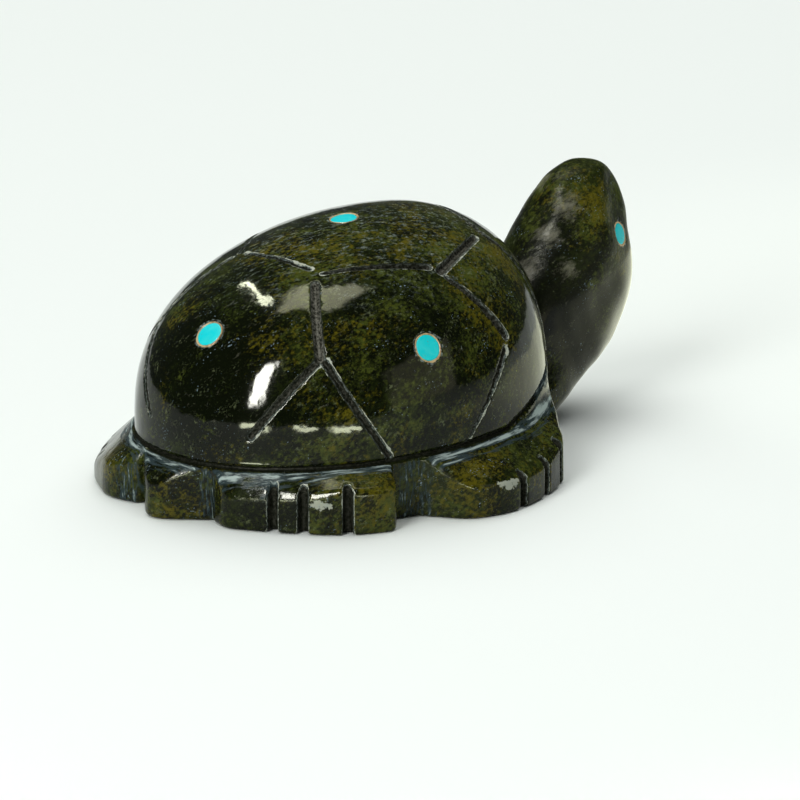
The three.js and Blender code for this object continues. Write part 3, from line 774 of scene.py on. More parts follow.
def wear(t, p, grooves):
    """What the surface has been through, and where light and shade are painted, for the material.
    cut: millimetres from a cut's edge, negative inside it, and dull: how matt that cut's floor is, where the
    rest of it is painted shade.
    crest: millimetres from the top edge of feet and tail, and bruise_and_light: how bruised the nearest edge
    is, which also paints a highlight along the crest and light on the wall inside a cut.
    scour and rub: where streaks run along the ledge under the rim, and down the walls.
    painted_glint: painted highlights on the feet's walls.
    around, outside: millimetres along the rim and out from the shell, which the streaks follow.
    halo: millimetres from an inlay. satin: 0 where polished to a gloss, 1 on the neck and head.
    cloud_and_shade: how much lighter the stone's clouds are there, and darker under the head as painted
    shade. painted_highlight: painted highlights on the neck and head."""
    s = t.shell
    x, y, z = p.T
    low = np.nonzero(z < 1.3 * s.rim_level)[0]
    solid, cuts = feet_plan(s, t.feet, x[low], y[low])
    top, slope = feet_roof(s, x[low], y[low])
    roof = (z[low] - top) / np.sqrt(1 + slope * slope)
    cut, dull, bruise_and_light = nearest_cut(t, p, grooves, low, cuts + np.maximum(solid, roof))

    crest = np.full(len(p), FAR)
    crest[low] = np.where(cut[low] > 0, np.hypot(solid, roof), FAR)
    bearing = np.degrees(np.arctan2(-y / s.width, -x / s.length))
    # How bruised the crest is, which also paints a highlight along it
    worn_and_lit = np.interp(bearing, CREST_BRUISES_AND_GLINTS[:, 0], CREST_BRUISES_AND_GLINTS[:, 1])
    bruise_and_light = np.where(crest < np.abs(cut), worn_and_lit, bruise_and_light)

    outside = shell_distance(s, x, y, z)
    tops = np.zeros(len(p))
    tops[low] = smooth_step(-0.5 * MM, -0.15 * MM, roof) * smooth_step(2.0 * MM, 0.3 * MM, outside[low])
    tops *= smooth_step(0, 0.2 * MM, outside)
    over_rim = z - rim_height(s, x)
    scour, rub = streaked(s, x, y, tops, over_rim, bearing)
    radius = (s.length + s.width) / 4
    around = np.radians(bearing) * radius
    # Painted highlights on the walls of the feet
    painted_glint = np.zeros(len(p))
    on_wall = smooth_step(-0.35 * MM, -0.1 * MM, solid)
    for place, height, half, tall in PAINTED_FOOT_GLINTS:
        off = np.hypot((around[low] - math.radians(place) * radius) / (half * MM),
                       (z[low] - height * MM) / (tall * MM))
        painted_glint[low] = np.maximum(painted_glint[low], smooth_step(1.3, 0.5, off) * on_wall)

    cloud_and_shade, painted_highlight, halo = np.zeros(len(p)), np.zeros(len(p)), np.full(len(p), 3 * MM)
    # The stone's lighter and darker clouds, and painted shade under the head
    for place, spread, lighter in CLOUDS_AND_SHADE:
        cloud_and_shade += lighter * spot(p, place, spread)
    # Painted highlights on the neck and head
    for place, spread in PAINTED_HEAD_HIGHLIGHTS:
        painted_highlight = np.maximum(painted_highlight, spot(p, place, spread))
    for _, point, _, diameter in sockets(t):
        halo = np.minimum(halo, np.linalg.norm(p - point, axis=1) - diameter / 2)
    above = smooth_step(-0.5 * MM, 0.5 * MM, over_rim)
    satin = smooth_step(0.3 * MM, 1.5 * MM, outside) * np.where(z > 1.4 * s.rim_level, above, 0.3)
    return {"cut": cut / MM, "dull": dull, "crest": crest / MM, "bruise_and_light": bruise_and_light, "scour": scour, "rub": rub,
            "painted_glint": painted_glint, "around": around / MM, "outside": outside / MM, "halo": halo / MM,
            "satin": satin, "cloud_and_shade": cloud_and_shade, "painted_highlight": painted_highlight}


# Meshes

def add_piece(name, points, faces, material, normals=None, values=None):
    """A closed smooth mesh, moved to where the turtle stands, with its own normals and values by point."""
    mesh = bpy.data.meshes.new(name)
    mesh.from_pydata(points + (SHELL_MIDDLE, 0, 0), [], faces)
    mesh.shade_smooth()
    for key, value in (values or {}).items():
        mesh.attributes.new(key, "FLOAT", "POINT").data.foreach_set("value", value.astype(np.float32))
    if normals is not None:
        mesh.normals_split_custom_set_from_vertices(normals)
    mesh.materials.append(material)
    piece = bpy.data.objects.new(name, mesh)
    bpy.context.scene.collection.objects.link(piece)
    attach(piece, "root")
    return piece


def thinned(points, triangles, quads, most):
    """The same surface with at most so many triangles: edges are collapsed first where it is flattest."""
    mesh = bpy.data.meshes.new("rough")
    halves = [triangles, quads[:, [0, 1, 2]], quads[:, [0, 2, 3]]]
    mesh.from_pydata(points, [], np.concatenate([half for half in halves if len(half)]))
    rough = bpy.data.objects.new("rough", mesh)
    bpy.context.scene.collection.objects.link(rough)
    decimate = rough.modifiers.new("Thin", "DECIMATE")
    decimate.ratio = min(1, most / len(mesh.polygons))
    thin = bpy.data.meshes.new_from_object(rough.evaluated_get(bpy.context.evaluated_depsgraph_get()))
    bpy.data.objects.remove(rough)
    bpy.data.meshes.remove(mesh)
    places = np.empty(len(thin.vertices) * 3)
    corners = np.empty(len(thin.loops), int)
    thin.vertices.foreach_get("co", places)
    thin.loops.foreach_get("vertex_index", corners)
    bpy.data.meshes.remove(thin)
    return places.reshape(-1, 3), corners.reshape(-1, 3)


def outward(points, faces):
    """The faces, turned round if the closed surface's volume comes out negative."""
    a, b, c = (points[faces[:, i]] for i in range(3))
    volume = (np.cross(a, b) * c).sum()
    return faces if volume > 0 else faces[:, ::-1]


def ring_faces(rows, around):
    """Quads between rings of points, each ring closed on itself."""
    row, turn = np.meshgrid(np.arange(rows - 1), np.arange(around), indexing="ij")
    after = (turn + 1) % around
    return np.stack([row * around + turn, row * around + after,
                     (row + 1) * around + after, (row + 1) * around + turn], axis=-1).reshape(-1, 4)


def across_axes(normal):
    """Two directions square to a normal, the first one level and the second one pointing up."""
    level = np.cross((0, 0, 1), normal)
    if np.linalg.norm(level) < 0.2:
        level = np.array([0, 1.0, 0])
    level = level / np.linalg.norm(level)
    return level, np.cross(normal, level)


def onto_stone(t, p, normal):
    """Points moved along one direction onto the block's surface, in a few steps that close in on it."""
    step = 0.02 * MM
    for _ in range(4):
        here = stone_block(t, *p.T, low_plan(t.shell, t.feet, *p.T))
        there = p + normal * step
        slope = (stone_block(t, *there.T, low_plan(t.shell, t.feet, *there.T)) - here) / step
        p = p - normal * np.clip(here / np.clip(slope, 0.3, None), -MM, MM)[:, None]
    return p


PLUG_SIDES = 96


def turned_on_stone(t, point, normal, rings):
    """Rings of points round a socket. Each has a radius, by bearing, and a drop below the block's surface
    there, or below the socket's middle where its last value says so."""
    level, up = across_axes(normal)
    turn = np.arange(PLUG_SIDES) * 2 * math.pi / PLUG_SIDES
    way = np.cos(turn)[:, None] * level + np.sin(turn)[:, None] * up
    points = []
    for radius, drop, follows in rings:
        ring = point + way * (np.ones(PLUG_SIDES) * radius)[:, None]
        if follows:
            ring = onto_stone(t, ring, normal)
        points.append(ring - normal * (np.ones(PLUG_SIDES) * drop)[:, None])
    return np.concatenate(points)


def bearing_noise(seed, highest=9):
    """Unevenness round a ring, mostly between -1 and 1: a sum of harmonics with seeded phases, weaker as
    they get finer."""
    random = np.random.default_rng(seed)
    turn = np.arange(PLUG_SIDES) * 2 * math.pi / PLUG_SIDES
    total = 0
    for order in range(2, highest):
        total = total + np.sin(order * turn + random.uniform(0, 2 * math.pi)) / order ** 0.7
    return total / 1.6


def plug(t, number, point, normal, diameter):
    """A turquoise plug: rings from its middle out over a polished top that follows the stone, a worn edge,
    a side wall, and back to the middle of its bottom."""
    radius = diameter / 2 * (1 + 0.02 * bearing_noise(40 + number))
    sunk = 0.03 * MM
    shares = [0.001, 0.2, 0.4, 0.6, 0.75, 0.86, 0.92]
    rings = [(radius * part, sunk - 0.02 * MM * (1 - part * part), True) for part in shares]
    rings += [(radius * 0.965, sunk + 0.02 * MM, True), (radius * 0.99, sunk + 0.06 * MM, True),
              (radius, sunk + 0.12 * MM, True), (radius, 0.5 * MM, False),
              (radius * 0.98, t.inlays.depth, False), (radius * 0.001, t.inlays.depth, False)]
    points = turned_on_stone(t, point, normal, rings)
    return points, ring_faces(len(rings), PLUG_SIDES)


def bond_ring(t, number, point, normal, diameter):
    """The bond line round a plug: a low uneven bead from under the plug's edge to the socket's wall, thicker
    on its lower side, closed below."""
    turn = np.arange(PLUG_SIDES) * 2 * math.pi / PLUG_SIDES
    radius = diameter / 2
    lower = smooth_step(-0.2, -1, np.sin(turn))
    width = t.inlays.bond * (1 + 0.35 * bearing_noise(60 + number) + 0.9 * lower)
    inner = radius * 0.975
    outer = radius + np.maximum(width, 0.25 * t.inlays.bond)
    top = 0.02 * MM * bearing_noise(80 + number)
    rings = [(inner, 0.6 * MM, True), (inner, 0.06 * MM - top, True),
             (radius + 0.3 * (outer - radius), 0.01 * MM - top, True),
             (radius + 0.7 * (outer - radius), 0.0 * MM - top, True), (outer, 0.03 * MM, True),
             (outer, 0.6 * MM, True), (inner, 0.6 * MM, True)]
    points = turned_on_stone(t, point, normal, rings)
    faces = ring_faces(len(rings), PLUG_SIDES)
    last = (len(rings) - 1) * PLUG_SIDES
    faces[faces >= last] -= last
    return points[:last], faces


# Materials

def add(tree, kind, inputs=None, output=0, **settings):
    """Adds a node and returns one of its outputs. Settings are its attributes, and inputs its sockets, each
    a value or another node's output."""
    node = tree.nodes.new("ShaderNode" + kind)
    for name, value in settings.items():
        setattr(node, name, value)
    for socket, value in (inputs or {}).items():
        if isinstance(value, bpy.types.NodeSocket):
            tree.links.new(value, node.inputs[socket])
        else:
            node.inputs[socket].default_value = value
    return node.outputs[output] if len(node.outputs) else None


def new_material(name):
    """An empty material, and the function that adds nodes to it."""
    material = bpy.data.materials.new(name)
    material.use_nodes = True
    material.node_tree.nodes.clear()
    return material, functools.partial(add, material.node_tree)


def rgba(value):
    return (*value, 1)


# Clouds and specks in the stone, each laid over the last: its colour, the pitch of its patches and of the
# mottling that breaks them up, in millimetres, how strongly that breaks them, how much more of it the
# lighter clouds have, and so how much less the painted shade under the head has, between which values of
# all these it comes in, and how much of the colour shows at most.
STONE_PATTERN = [
    ("deep", 3.5, 0.4, 0.8, 0.16, 0.39, 0.66, 1.0), ("olive", 2.4, 0.3, 1.0, 0.16, 0.45, 0.76, 0.95),
    ("ochre", 5.0, 0.3, 1.0, 0.14, 0.52, 0.80, 0.95), ("night", 1.6, 0.2, 1.2, -0.12, 0.48, 0.74, 0.9),
    ("pale", 1.0, 0.2, 1.2, 0.04, 0.62, 0.90, 0.4), ("fleck", 1.8, 0.15, 2.0, 0.0, 0.86, 1.02, 0.85),
    ("chip", 3.0, 0.12, 2.0, 0.0, 1.08, 1.16, 0.6)]
GRAIN_WAY = (0.69, -0.47, 0.55)  # along which the stone's clouds are drawn out
WEAR_AND_LIGHT = ("cut", "dull", "crest", "bruise_and_light", "scour", "rub", "painted_glint", "around", "outside", "halo", "satin",
        "cloud_and_shade", "painted_highlight")


def mottled_stone(node, c, drawn, cloud_and_shade):
    """The stone's colour: the layers of its pattern over its darkest green, lighter or darker by the clouds,
    and darker on the neck under the head as painted shade.
    """
    tone = rgba(c.night)
    for seed, (tint, pitch, broken, force, lighter, low, high, most) in enumerate(STONE_PATTERN):
        broad = node("TexNoise", {"Vector": drawn, "W": seed * 1.7, "Scale": 1 / (pitch * MM), "Detail": 3},
                     noise_dimensions="4D")
        fine = node("TexNoise", {"Vector": drawn, "W": seed * 1.7 + 9, "Scale": 1 / (broken * MM),
                                 "Detail": 3, "Roughness": 0.6}, noise_dimensions="4D")
        lifted = node("Math", {0: fine, 1: force, 2: -force / 2}, operation="MULTIPLY_ADD")
        both = node("Math", {0: broad, 1: lifted}, operation="ADD")
        both = node("Math", {0: cloud_and_shade, 1: lighter, 2: both}, operation="MULTIPLY_ADD")
        part = node("MapRange", {0: both, 1: low, 2: high, 4: most}, interpolation_type="SMOOTHSTEP")
        tone = node("Mix", {0: part, 6: tone, 7: rgba(getattr(c, tint))}, 2, data_type="RGBA")
    return tone


def scuffs_and_smudges(node, c, worn_and_lit, height, scuffs):
    """Fine scuffs on the crown, and painted highlights on the neck and head."""
    high = node("MapRange", {0: height, 1: 16 * MM, 2: 21 * MM, 4: 0.7})
    polished = node("Math", {0: 1, 1: worn_and_lit["satin"]}, operation="SUBTRACT")
    high = node("Math", {0: high, 1: polished}, operation="MULTIPLY")
    scuffed = node("MapRange", {0: scuffs, 1: 0.54, 2: 0.78, 4: high})
    # Painted highlights: pale patches on the neck and head
    painted_highlight = node("Math", {0: worn_and_lit["painted_highlight"], 1: 0.35, 2: scuffs}, operation="MULTIPLY_ADD")
    painted_highlight = node("MapRange", {0: painted_highlight, 1: 0.6, 2: 0.9, 4: 0.22})
    return [(scuffed, rgba(c.scour)), (painted_highlight, rgba(c.chip))]


def inlay_scratches(node, c, worn_and_lit, cloudy):
    """Fine circular scratches round the inlays."""
    circles = node("TexNoise", {"W": worn_and_lit["halo"], "Scale": 1 / 0.16, "Detail": 2}, noise_dimensions="1D")
    scratchy = node("Math", {0: cloudy, 1: 1.6, 2: circles}, operation="MULTIPLY_ADD")
    near_inlay = node("MapRange", {0: worn_and_lit["halo"], 1: 0.1, 2: 0.7, 3: 0.35, 4: -0.3})
    scratchy = node("Math", {0: scratchy, 1: near_inlay}, operation="ADD")
    halo = node("MapRange", {0: scratchy, 1: 1.5, 2: 1.8, 4: 0.4})
    return [(halo, rgba(c.scour))]


def groove_floors(node, c, worn_and_lit, grain, ragged):
    """The floors of grooves, streaked along the way they were cut: grey ground stone where dull, and the
    darkest green as painted shade where not. Beside them the walls, pale where bruised, which also paints
    light on one wall of some grooves. Also the relief of those streaks."""
    cut = node("Math", {0: worn_and_lit["cut"], 1: ragged}, operation="ADD")
    inside = node("MapRange", {0: cut, 1: 0.01, 2: -0.07})
    strokes = node("TexNoise", {"W": cut, "Scale": 1 / 0.12, "Detail": 2}, noise_dimensions="1D")
    stroked = node("Math", {0: strokes, 1: grain}, operation="ADD")
    ground = node("MapRange", {0: stroked, 1: 0.9, 2: 1.2, 3: 0.05, 4: 1.2})
    ground = node("Math", {0: ground, 1: worn_and_lit["dull"]}, operation="MULTIPLY")
    # Pale stone on the wall inside a bruised edge: bruising, and painted light on the groove wall that faces
    # the light
    wall = node("MapRange", {0: cut, 1: -0.07, 2: -0.17, 3: worn_and_lit["bruise_and_light"], 4: 0})
    light = node("MapRange", {0: stroked, 1: 0.85, 2: 1.2, 3: 0.1, 4: 0.9})
    wall = node("Math", {0: wall, 1: light}, operation="MULTIPLY")
    # Painted shade: the floor is the darkest green, and grey ground stone where it is dull
    floor = node("Mix", {0: ground, 6: rgba(c.night), 7: rgba(c.ground)}, 2, data_type="RGBA")
    floor = node("Mix", {0: wall, 6: floor, 7: rgba(c.scour)}, 2, data_type="RGBA")
    return [(inside, floor)], stroked


def grinding_streaks(node, c, worn_and_lit, height):
    """Streaks along the ledge and down the walls: dark blue-grey, and pale where they are densest."""
    ledge = node("CombineXYZ", {0: worn_and_lit["around"], 1: worn_and_lit["outside"]})
    walls = node("CombineXYZ", {0: worn_and_lit["around"], 2: height})
    layers = []
    for way, scale, zone, force in (
            (ledge, (0.35, 3.2, 1), "scour", 0.36), (walls, (4.5, 1, 0.8 / MM), "rub", 0.27)):
        way = node("Mapping", {"Vector": way, "Scale": scale})
        streaks = node("TexNoise", {"Vector": way, "Scale": 1, "Detail": 4, "Roughness": 0.6})
        dense = node("Math", {0: worn_and_lit[zone], 1: force, 2: streaks}, operation="MULTIPLY_ADD")
        dark = node("MapRange", {0: dense, 1: 0.70, 2: 0.80, 4: 0.85})
        pale = node("MapRange", {0: dense, 1: 0.84, 2: 0.95, 4: 0.9})
        layers += [(dark, rgba(c.slate)), (pale, rgba(c.scour))]
    return layers


def bruised_edges(node, c, worn_and_lit, cloudy, torn, ragged):
    """Bruised cream edges, painted highlights along the crest of feet and tail, and on the feet's walls."""
    lip = node("Math", {0: worn_and_lit["cut"]}, operation="ABSOLUTE")
    edge = node("Math", {0: lip, 1: worn_and_lit["crest"]}, operation="MINIMUM")
    edge = node("Math", {0: ragged, 1: 0.6, 2: edge}, operation="MULTIPLY_ADD")
    likely = node("Math", {0: worn_and_lit["bruise_and_light"], 1: 0.5, 2: torn}, operation="MULTIPLY_ADD")
    line = node("MapRange", {0: likely, 1: 0.68, 2: 0.8, 3: -0.03, 4: 0.025})
    bite = node("MapRange", {0: likely, 1: 0.9, 2: 1, 4: 0.12})
    width = node("Math", {0: line, 1: bite}, operation="ADD")
    reach = node("Math", {0: width, 1: edge}, operation="SUBTRACT")
    chip = node("MapRange", {0: reach, 1: -0.02, 2: 0.02, 4: 0.8})
    # Painted highlights on the walls of the feet, mixed in with the bruised edges
    rubbed = node("Math", {0: worn_and_lit["painted_glint"], 1: 0.42, 2: torn}, operation="MULTIPLY_ADD")
    rubbed = node("Math", {0: cloudy, 1: 0.5, 2: rubbed}, operation="MULTIPLY_ADD")
    rubbed = node("MapRange", {0: rubbed, 1: 1.11, 2: 1.17, 4: 0.65})
    chip = node("Math", {0: chip, 1: rubbed}, operation="MAXIMUM")
    tone = node("Mix", {0: cloudy, 6: rgba(c.scour), 7: rgba(c.chip)}, 2, data_type="RGBA")
    return [(chip, tone)]


def polished_serpentine(c):
    """Polished serpentine: cut on a wheel and rubbed to a gloss, so lights stand in it as hard shapes with
    ragged edges. Night and deep green run into olive and ochre in patches some millimetres wide, over fine
    mottling, with blue-grey flecks and pale specks. Where it was ground and not polished, in the grooves
    and along the rim, it is dull blue-grey, with bruised cream edges; where the cuts' floors are not dull
    they are painted dark green as shade. Highlights are painted along the crest of the feet, on their walls
    and on the neck and head, and shade on the neck under the head. The neck and head are only satin."""
    material, node = new_material("polished_serpentine")
    place = node("TexCoord", output="Object")
    height = node("SeparateXYZ", {0: place}, 2)
    turn = Vector(GRAIN_WAY).to_track_quat("X", "Z").to_euler()
    drawn = node("Mapping", {"Vector": place, "Rotation": turn, "Scale": (1.4, 1, 1)}, vector_type="TEXTURE")
    brushed = node("Mapping", {"Vector": drawn, "Scale": (0.55, 1, 1)})
    worn_and_lit = {key: node("Attribute", output="Fac", attribute_name=key) for key in WEAR_AND_LIGHT}
    # Each noise's pitch in millimetres, detail and roughness
    scuffs, dents, cloudy, grain, torn, waves = (
        node("TexNoise", {"Vector": way, "Scale": 1 / (pitch * MM), "Detail": detail, "Roughness": rough})
        for way, pitch, detail, rough in (
            (brushed, 0.4, 6, 0.75), (place, 3.2, 5, 0.6), (place, 0.3, 4, 0.5), (place, 0.22, 3, 0.5),
            (place, 1.6, 6, 0.6), (place, 0.75, 1.5, 0.5)))
    ragged = node("MapRange", {0: grain, 1: 0.3, 2: 0.7, 3: -0.05, 4: 0.05})

    # What lies over the stone's colour: masks, each with its colour, painted highlights and painted shade
    # among them
    floors, stroked = groove_floors(node, c, worn_and_lit, grain, ragged)
    streaks = grinding_streaks(node, c, worn_and_lit, height)
    bruises = bruised_edges(node, c, worn_and_lit, cloudy, torn, ragged)
    tone = mottled_stone(node, c, drawn, worn_and_lit["cloud_and_shade"])
    for mask, colour_over in (scuffs_and_smudges(node, c, worn_and_lit, height, scuffs)
                              + inlay_scratches(node, c, worn_and_lit, cloudy) + floors + streaks + bruises):
        tone = node("Mix", {0: mask, 6: tone, 7: colour_over}, 2, data_type="RGBA")

    # Floors, dark streaks and bruises were never polished, and the painted highlights on the feet are rough
    # with them
    unpolished = floors[0][0]
    for mask, _ in (*streaks[::2], *bruises):
        unpolished = node("Math", {0: mask, 1: unpolished}, operation="MAXIMUM")
    gloss = node("Math", {0: worn_and_lit["satin"], 1: 0.27, 2: 0.07}, operation="MULTIPLY_ADD")
    roughness = node("Mix", {0: unpolished, 2: gloss, 3: 0.45})
    shine = node("Math", {0: worn_and_lit["satin"], 1: -0.06, 2: 0.12}, operation="MULTIPLY_ADD")
    shine = node("Mix", {0: unpolished, 2: shine, 3: 0.03})

    # Waves that polishing left, soft dents on the neck and head, and the tooth of what wasn't polished
    bump = node("Bump", {"Height": waves, "Strength": 1, "Distance": 0.011 * MM})
    for relief, strength, depth in ((dents, worn_and_lit["satin"], 0.25), (stroked, unpolished, 0.03)):
        bump = node("Bump", {"Height": relief, "Strength": strength, "Distance": depth * MM, "Normal": bump})
    shader = node("BsdfPrincipled", {"Base Color": tone, "Roughness": roughness, "IOR": 1.56,
                                     "Specular IOR Level": shine, "Normal": bump})
    node("OutputMaterial", {"Surface": shader})
    return material


def satin_turquoise(c):
    """Turquoise, rubbed down with the stone round it: a soft sheen on bright greenish blue, with paler
    cloudy veins and a few tiny brown pits."""
    material, node = new_material("satin_turquoise")
    place = node("TexCoord", output="Object")
    clouds = node("TexNoise", {"Vector": place, "Scale": 1 / (0.8 * MM), "Detail": 4, "Distortion": 0.8})
    pits = node("TexNoise", {"Vector": place, "Scale": 1 / (0.3 * MM), "Detail": 2})
    pale = node("MapRange", {0: clouds, 1: 0.45, 2: 0.75, 4: 0.6})
    pitted = node("MapRange", {0: pits, 1: 0.68, 2: 0.74, 4: 0.6})
    tone = node("Mix", {0: pale, 6: rgba(c.turquoise), 7: rgba(c.turquoise_pale)}, 2, data_type="RGBA")
    tone = node("Mix", {0: pitted, 6: tone, 7: rgba(c.bond_dark)}, 2, data_type="RGBA")
    bump = node("Bump", {"Height": pits, "Strength": 0.6, "Distance": 0.02 * MM})
    shader = node("BsdfPrincipled", {"Base Color": tone, "Roughness": 0.32, "IOR": 1.61,
                                     "Specular IOR Level": 0.15, "Normal": bump})
    node("OutputMaterial", {"Surface": shader})
    return material


def aged_glue(c):
    """Hard clear glue that has yellowed and taken up dust: tan, brown in places, with a dull gloss."""
    material, node = new_material("aged_glue")
    place = node("TexCoord", output="Object")
    dust = node("TexNoise", {"Vector": place, "Scale": 1 / (0.8 * MM), "Detail": 4})
    dusty = node("MapRange", {0: dust, 1: 0.5, 2: 0.7})
    tone = node("Mix", {0: dusty, 6: rgba(c.bond), 7: rgba(c.bond_dark)}, 2, data_type="RGBA")
    bump = node("Bump", {"Height": dust, "Strength": 0.5, "Distance": 0.03 * MM})
    shader = node("BsdfPrincipled", {"Base Color": tone, "Roughness": 0.35, "IOR": 1.5, "Normal": bump})
    node("OutputMaterial", {"Surface": shader})
    return material


def matt_card(c):
    """Matt white card under soft light: nearly even, with the faintest tooth."""
    material, node = new_material("matt_card")
    place = node("TexCoord", output="Object")
    tooth = node("TexNoise", {"Vector": place, "Scale": 1 / (0.8 * MM), "Detail": 2})
    bump = node("Bump", {"Height": tooth, "Strength": 0.2, "Distance": 0.02 * MM})
    shader = node("BsdfPrincipled", {"Base Color": rgba(c.floor), "Roughness": 0.85,
                                     "Specular IOR Level": 0.1, "Normal": bump})
    node("OutputMaterial", {"Surface": shader})
    return material


# Stage

MIRROR_LEVEL = 10 * MM  # height that lamps and cards aim at
FLOOR_REACH = 1.5  # metres from the middle to each edge of the floor
ROOM = (0.05, 0.055, 0.06, 1)  # the dim light of the room
SENSOR = 36  # width of the camera's sensor in millimetres

# Each lamp's name, azimuth and elevation in degrees, distance, width and height in metres, and radiance.
LAMPS = [("fill", 135, 70, 1.1, 1.6, 1.6, 2.0), ("key", -75, 31, 0.6, 0.2, 0.42, 7.6)]
# The cards have the same, and then their tint, the soft share of their width, how far they are turned in
# their own plane in degrees, and whether they lie on the floor.
CARDS = [
    ("softbox", -69, 31, 0.6, 0.11, 0.43, 115, "fffff4", 0.3, 0, False),
    ("overhead", 150, 80.6, 0.7, 0.22, 0.44, 12, "f4f4d0", 0.3, 45, False),
    ("back", 174.4, 53.7, 0.7, 0.017, 0.33, 60, "f4f8d8", 0.2, -26, False),
    ("right", 19, 14, 0.75, 0.5, 0.5, 1.6, "f2f0d0", 0.25, 0, False),
    ("glow", 85, -7.5, 0.075, 0.15, 0.11, 1.9, "eef2d8", 0.6, 0, True),
    ("gap_0", -68, -2.2, 0.09, 0.031, 0.006, 55, "f2f8d4", 0.3, -2, False),
    ("gap_1", -43, -2.6, 0.09, 0.018, 0.003, 55, "f2f8d4", 0.3, 0, False),
    ("gap_2", -24, -4.3, 0.09, 0.031, 0.005, 55, "f2f8d4", 0.3, -7, False)]


def direction(azimuth, elevation):
    """Unit vector towards an azimuth, 0 on the turtle's right side, and an elevation."""
    level = math.cos(elevation)
    return Vector((math.sin(azimuth) * level, -math.cos(azimuth) * level, math.sin(elevation)))


def add_camera(g):
    """Camera at the photograph's angle, with the turtle as wide in its view as there."""
    back = direction(g.azimuth, g.elevation)
    right = Vector((math.cos(g.azimuth), math.sin(g.azimuth), 0))
    target = Vector((SHELL_MIDDLE, 0, 0)) + right * g.aim_right + back.cross(right) * g.aim_up
    data = bpy.data.cameras.new("camera")
    data.sensor_width = SENSOR
    data.lens = SENSOR * g.distance / g.across
    camera = bpy.data.objects.new("camera", data)
    camera.location = target + back * g.distance
    camera.rotation_euler = back.to_track_quat("Z", "Y").to_euler()
    bpy.context.scene.collection.objects.link(camera)
    bpy.context.scene.camera = camera


def add_lamp(name, azimuth, elevation, distance, width, height, radiance):
    """A soft panel that lights the turtle and the floor. It faces the turtle, and its power is its radiance
    times pi times its area. What shines back from the polish are the cards."""
    data = bpy.data.lights.new(name, "AREA")
    data.shape = "RECTANGLE"
    data.size, data.size_y = width, height
    data.energy = radiance * math.pi * width * height
    lamp = bpy.data.objects.new(name, data)
    way = direction(math.radians(azimuth), math.radians(elevation))
    lamp.location = Vector((SHELL_MIDDLE, 0, MIRROR_LEVEL)) + way * distance
    lamp.rotation_euler = way.to_track_quat("Z", "Y").to_euler()
    lamp.visible_glossy = False
    lamp.visible_camera = False
    bpy.context.scene.collection.objects.link(lamp)


def lit_cloth(name, tint, radiance, soft):
    """White cloth lit from behind: even, and thinning out to clear over a share of its width along its
    edges."""
    material, node = new_material(name)
    place = node("TexCoord", output="UV")
    fade = 1
    for axis in (0, 1):
        off = node("SeparateXYZ", {0: place}, axis)
        off = node("Math", {0: off, 1: 0.5}, operation="SUBTRACT")
        off = node("Math", {0: off}, operation="ABSOLUTE")
        lit = node("MapRange", {0: off, 1: 0.5, 2: 0.5 - soft / 2}, interpolation_type="SMOOTHSTEP")
        fade = node("Math", {0: fade, 1: lit}, operation="MULTIPLY")
    glow = node("Emission", {"Color": rgba(linear(tint)), "Strength": radiance})
    cloth = node("MixShader", {0: fade, 1: node("BsdfTransparent"), 2: glow})
    node("OutputMaterial", {"Surface": cloth})
    return material


def add_card(name, azimuth, elevation, distance, width, height, radiance, tint, soft, turn, lying):
    """A lit cloth that faces the turtle or lies on the floor, and only shows as a shape in its polish."""
    azimuth, elevation, turn = math.radians(azimuth), math.radians(elevation), math.radians(turn)
    way = direction(azimuth, elevation)
    level = Vector((math.cos(azimuth), math.sin(azimuth), 0))
    up = Vector((way.x, way.y, 0)).normalized() if lying else way.cross(level)
    side = (level * math.cos(turn) + up * math.sin(turn)) * width / 2
    tall = (up * math.cos(turn) - level * math.sin(turn)) * height / 2
    middle = Vector((SHELL_MIDDLE, 0, MIRROR_LEVEL)) + way * distance
    mesh = bpy.data.meshes.new(name)
    mesh.from_pydata([middle - side - tall, middle + side - tall, middle + side + tall, middle - side + tall],
                     [], [(0, 1, 2, 3)])
    mesh.uv_layers.new().data.foreach_set("uv", (0, 0, 1, 0, 1, 1, 0, 1))
    mesh.materials.append(lit_cloth(name, tint, radiance, soft))
    card = bpy.data.objects.new(name, mesh)
    card.visible_camera = card.visible_diffuse = card.visible_shadow = card.visible_transmission = False
    bpy.context.scene.collection.objects.link(card)


# Operators

def shared_material(make):
    """A material by the name of the function that makes it, made once."""
    found = bpy.data.materials.get(make.__name__)
    return found or make(bpy.context.scene.turtle.colours)


class TURTLE_OT_carve_stone(bpy.types.Operator):
    """Carves the turtle from one block: shell, feet, tail, neck, head, grooves and sockets"""
    bl_idname = "turtle.carve_stone"
    bl_label = "Carve Stone"

    def execute(self, context):
        t = context.scene.turtle
        voxel, most = FINE_MESH
        points, triangles, quads, grooves = stone_surface(t, voxel)
        points, faces = thinned(points, triangles, quads, most)
        # Each point moves onto the surface, twice, by its distance over its slope
        for _ in range(2):
            slope = gradient(t, points, grooves)
            steep = np.maximum((slope * slope).sum(1), 0.1)
            off = np.clip(carved(t, points, grooves) / steep, -0.5 * voxel, 0.5 * voxel)
            points = points - slope * off[:, None]
        slope = gradient(t, points, grooves)
        normals = slope / np.maximum(np.linalg.norm(slope, axis=1, keepdims=True), 1e-6)
        faces = outward(points, faces)
        stone = add_piece("carved_turtle", points, faces, shared_material(polished_serpentine), normals,
                          wear(t, points, grooves))
        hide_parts("stone_turtle")
        return {"FINISHED"}


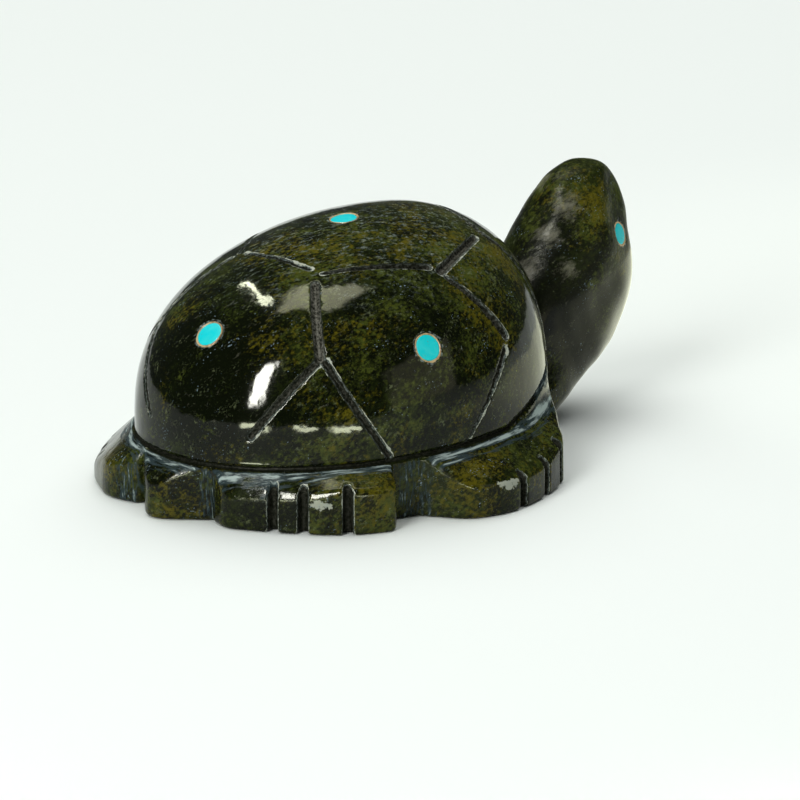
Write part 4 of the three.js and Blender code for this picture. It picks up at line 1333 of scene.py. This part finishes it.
class TURTLE_OT_set_inlays(bpy.types.Operator):
    """Sets the turquoise plugs into their sockets, four on the shell and two as eyes"""
    bl_idname = "turtle.set_inlays"
    bl_label = "Set Inlays"

    def execute(self, context):
        t = context.scene.turtle
        for number, (name, *socket) in enumerate(sockets(t)):
            points, faces = plug(t, number, *socket)
            piece = add_piece(name + "_plug", points, outward(points, faces),
                              shared_material(satin_turquoise))
            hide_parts(name)
        return {"FINISHED"}


class TURTLE_OT_fill_bonds(bpy.types.Operator):
    """Fills the gap round each plug with hard glue"""
    bl_idname = "turtle.fill_bonds"
    bl_label = "Fill Bonds"

    def execute(self, context):
        t = context.scene.turtle
        for number, (name, *socket) in enumerate(sockets(t)):
            points, faces = bond_ring(t, number, *socket)
            add_piece(name + "_bond", points, outward(points, faces), shared_material(aged_glue))
        return {"FINISHED"}


class TURTLE_OT_build_stage(bpy.types.Operator):
    """Lays the pale floor, hangs the soft panels and sets up the camera"""
    bl_idname = "turtle.build_stage"
    bl_label = "Build Stage"

    def execute(self, context):
        scene = context.scene
        add_camera(scene.turtle.stage)
        mesh = bpy.data.meshes.new("floor")
        corners = [(x * FLOOR_REACH, y * FLOOR_REACH, 0) for x, y in ((-1, -1), (1, -1), (1, 1), (-1, 1))]
        mesh.from_pydata(corners, [], [(0, 1, 2, 3)])
        mesh.materials.append(shared_material(matt_card))
        floor = bpy.data.objects.new("floor", mesh)
        scene.collection.objects.link(floor)
        for lamp in LAMPS:
            add_lamp(*lamp)
        for card in CARDS:
            add_card(*card)
        world = bpy.data.worlds.new("room")
        world.use_nodes = True
        shade = world.node_tree.nodes["Background"]
        shade.inputs["Color"].default_value = ROOM
        shade.inputs["Strength"].default_value = 1
        scene.world = world
        scene.view_settings.view_transform = "Standard"
        return {"FINISHED"}


class TURTLE_PT_maker(bpy.types.Panel):
    """Lists the turtle's steps and sizes"""
    bl_idname = "TURTLE_PT_maker"
    bl_label = "Carved Stone Turtle"
    bl_space_type = "VIEW_3D"
    bl_region_type = "UI"
    bl_category = "Turtle"

    def draw(self, context):
        turtle = context.scene.turtle
        for operator in OPERATORS:
            self.layout.operator(operator.bl_idname)
        for name in turtle.bl_rna.properties.keys():
            group = getattr(turtle, name)
            if not isinstance(group, bpy.types.PropertyGroup):
                continue
            box = self.layout.box()
            box.label(text=name.capitalize())
            for size in group.bl_rna.properties.keys():
                if size not in ("rna_type", "name"):
                    box.prop(group, size)


OPERATORS = (TURTLE_OT_carve_stone, TURTLE_OT_set_inlays, TURTLE_OT_fill_bonds, TURTLE_OT_build_stage)
CLASSES = (ShellSizes, FootSizes, HeadSizes, CutSizes, InlaySizes, Colours, StageSizes, TurtleSettings,
           *OPERATORS, TURTLE_PT_maker)


def register():
    for cls in CLASSES:
        bpy.utils.register_class(cls)
    bpy.types.Scene.turtle = bpy.props.PointerProperty(type=TurtleSettings)


def unregister():
    del bpy.types.Scene.turtle
    for cls in reversed(CLASSES):
        bpy.utils.unregister_class(cls)


def main():
    register()
    bpy.ops.turtle.carve_stone()
    bpy.ops.turtle.set_inlays()
    bpy.ops.turtle.fill_bonds()
    bpy.ops.turtle.build_stage()


if __name__ == "__main__":
    main()
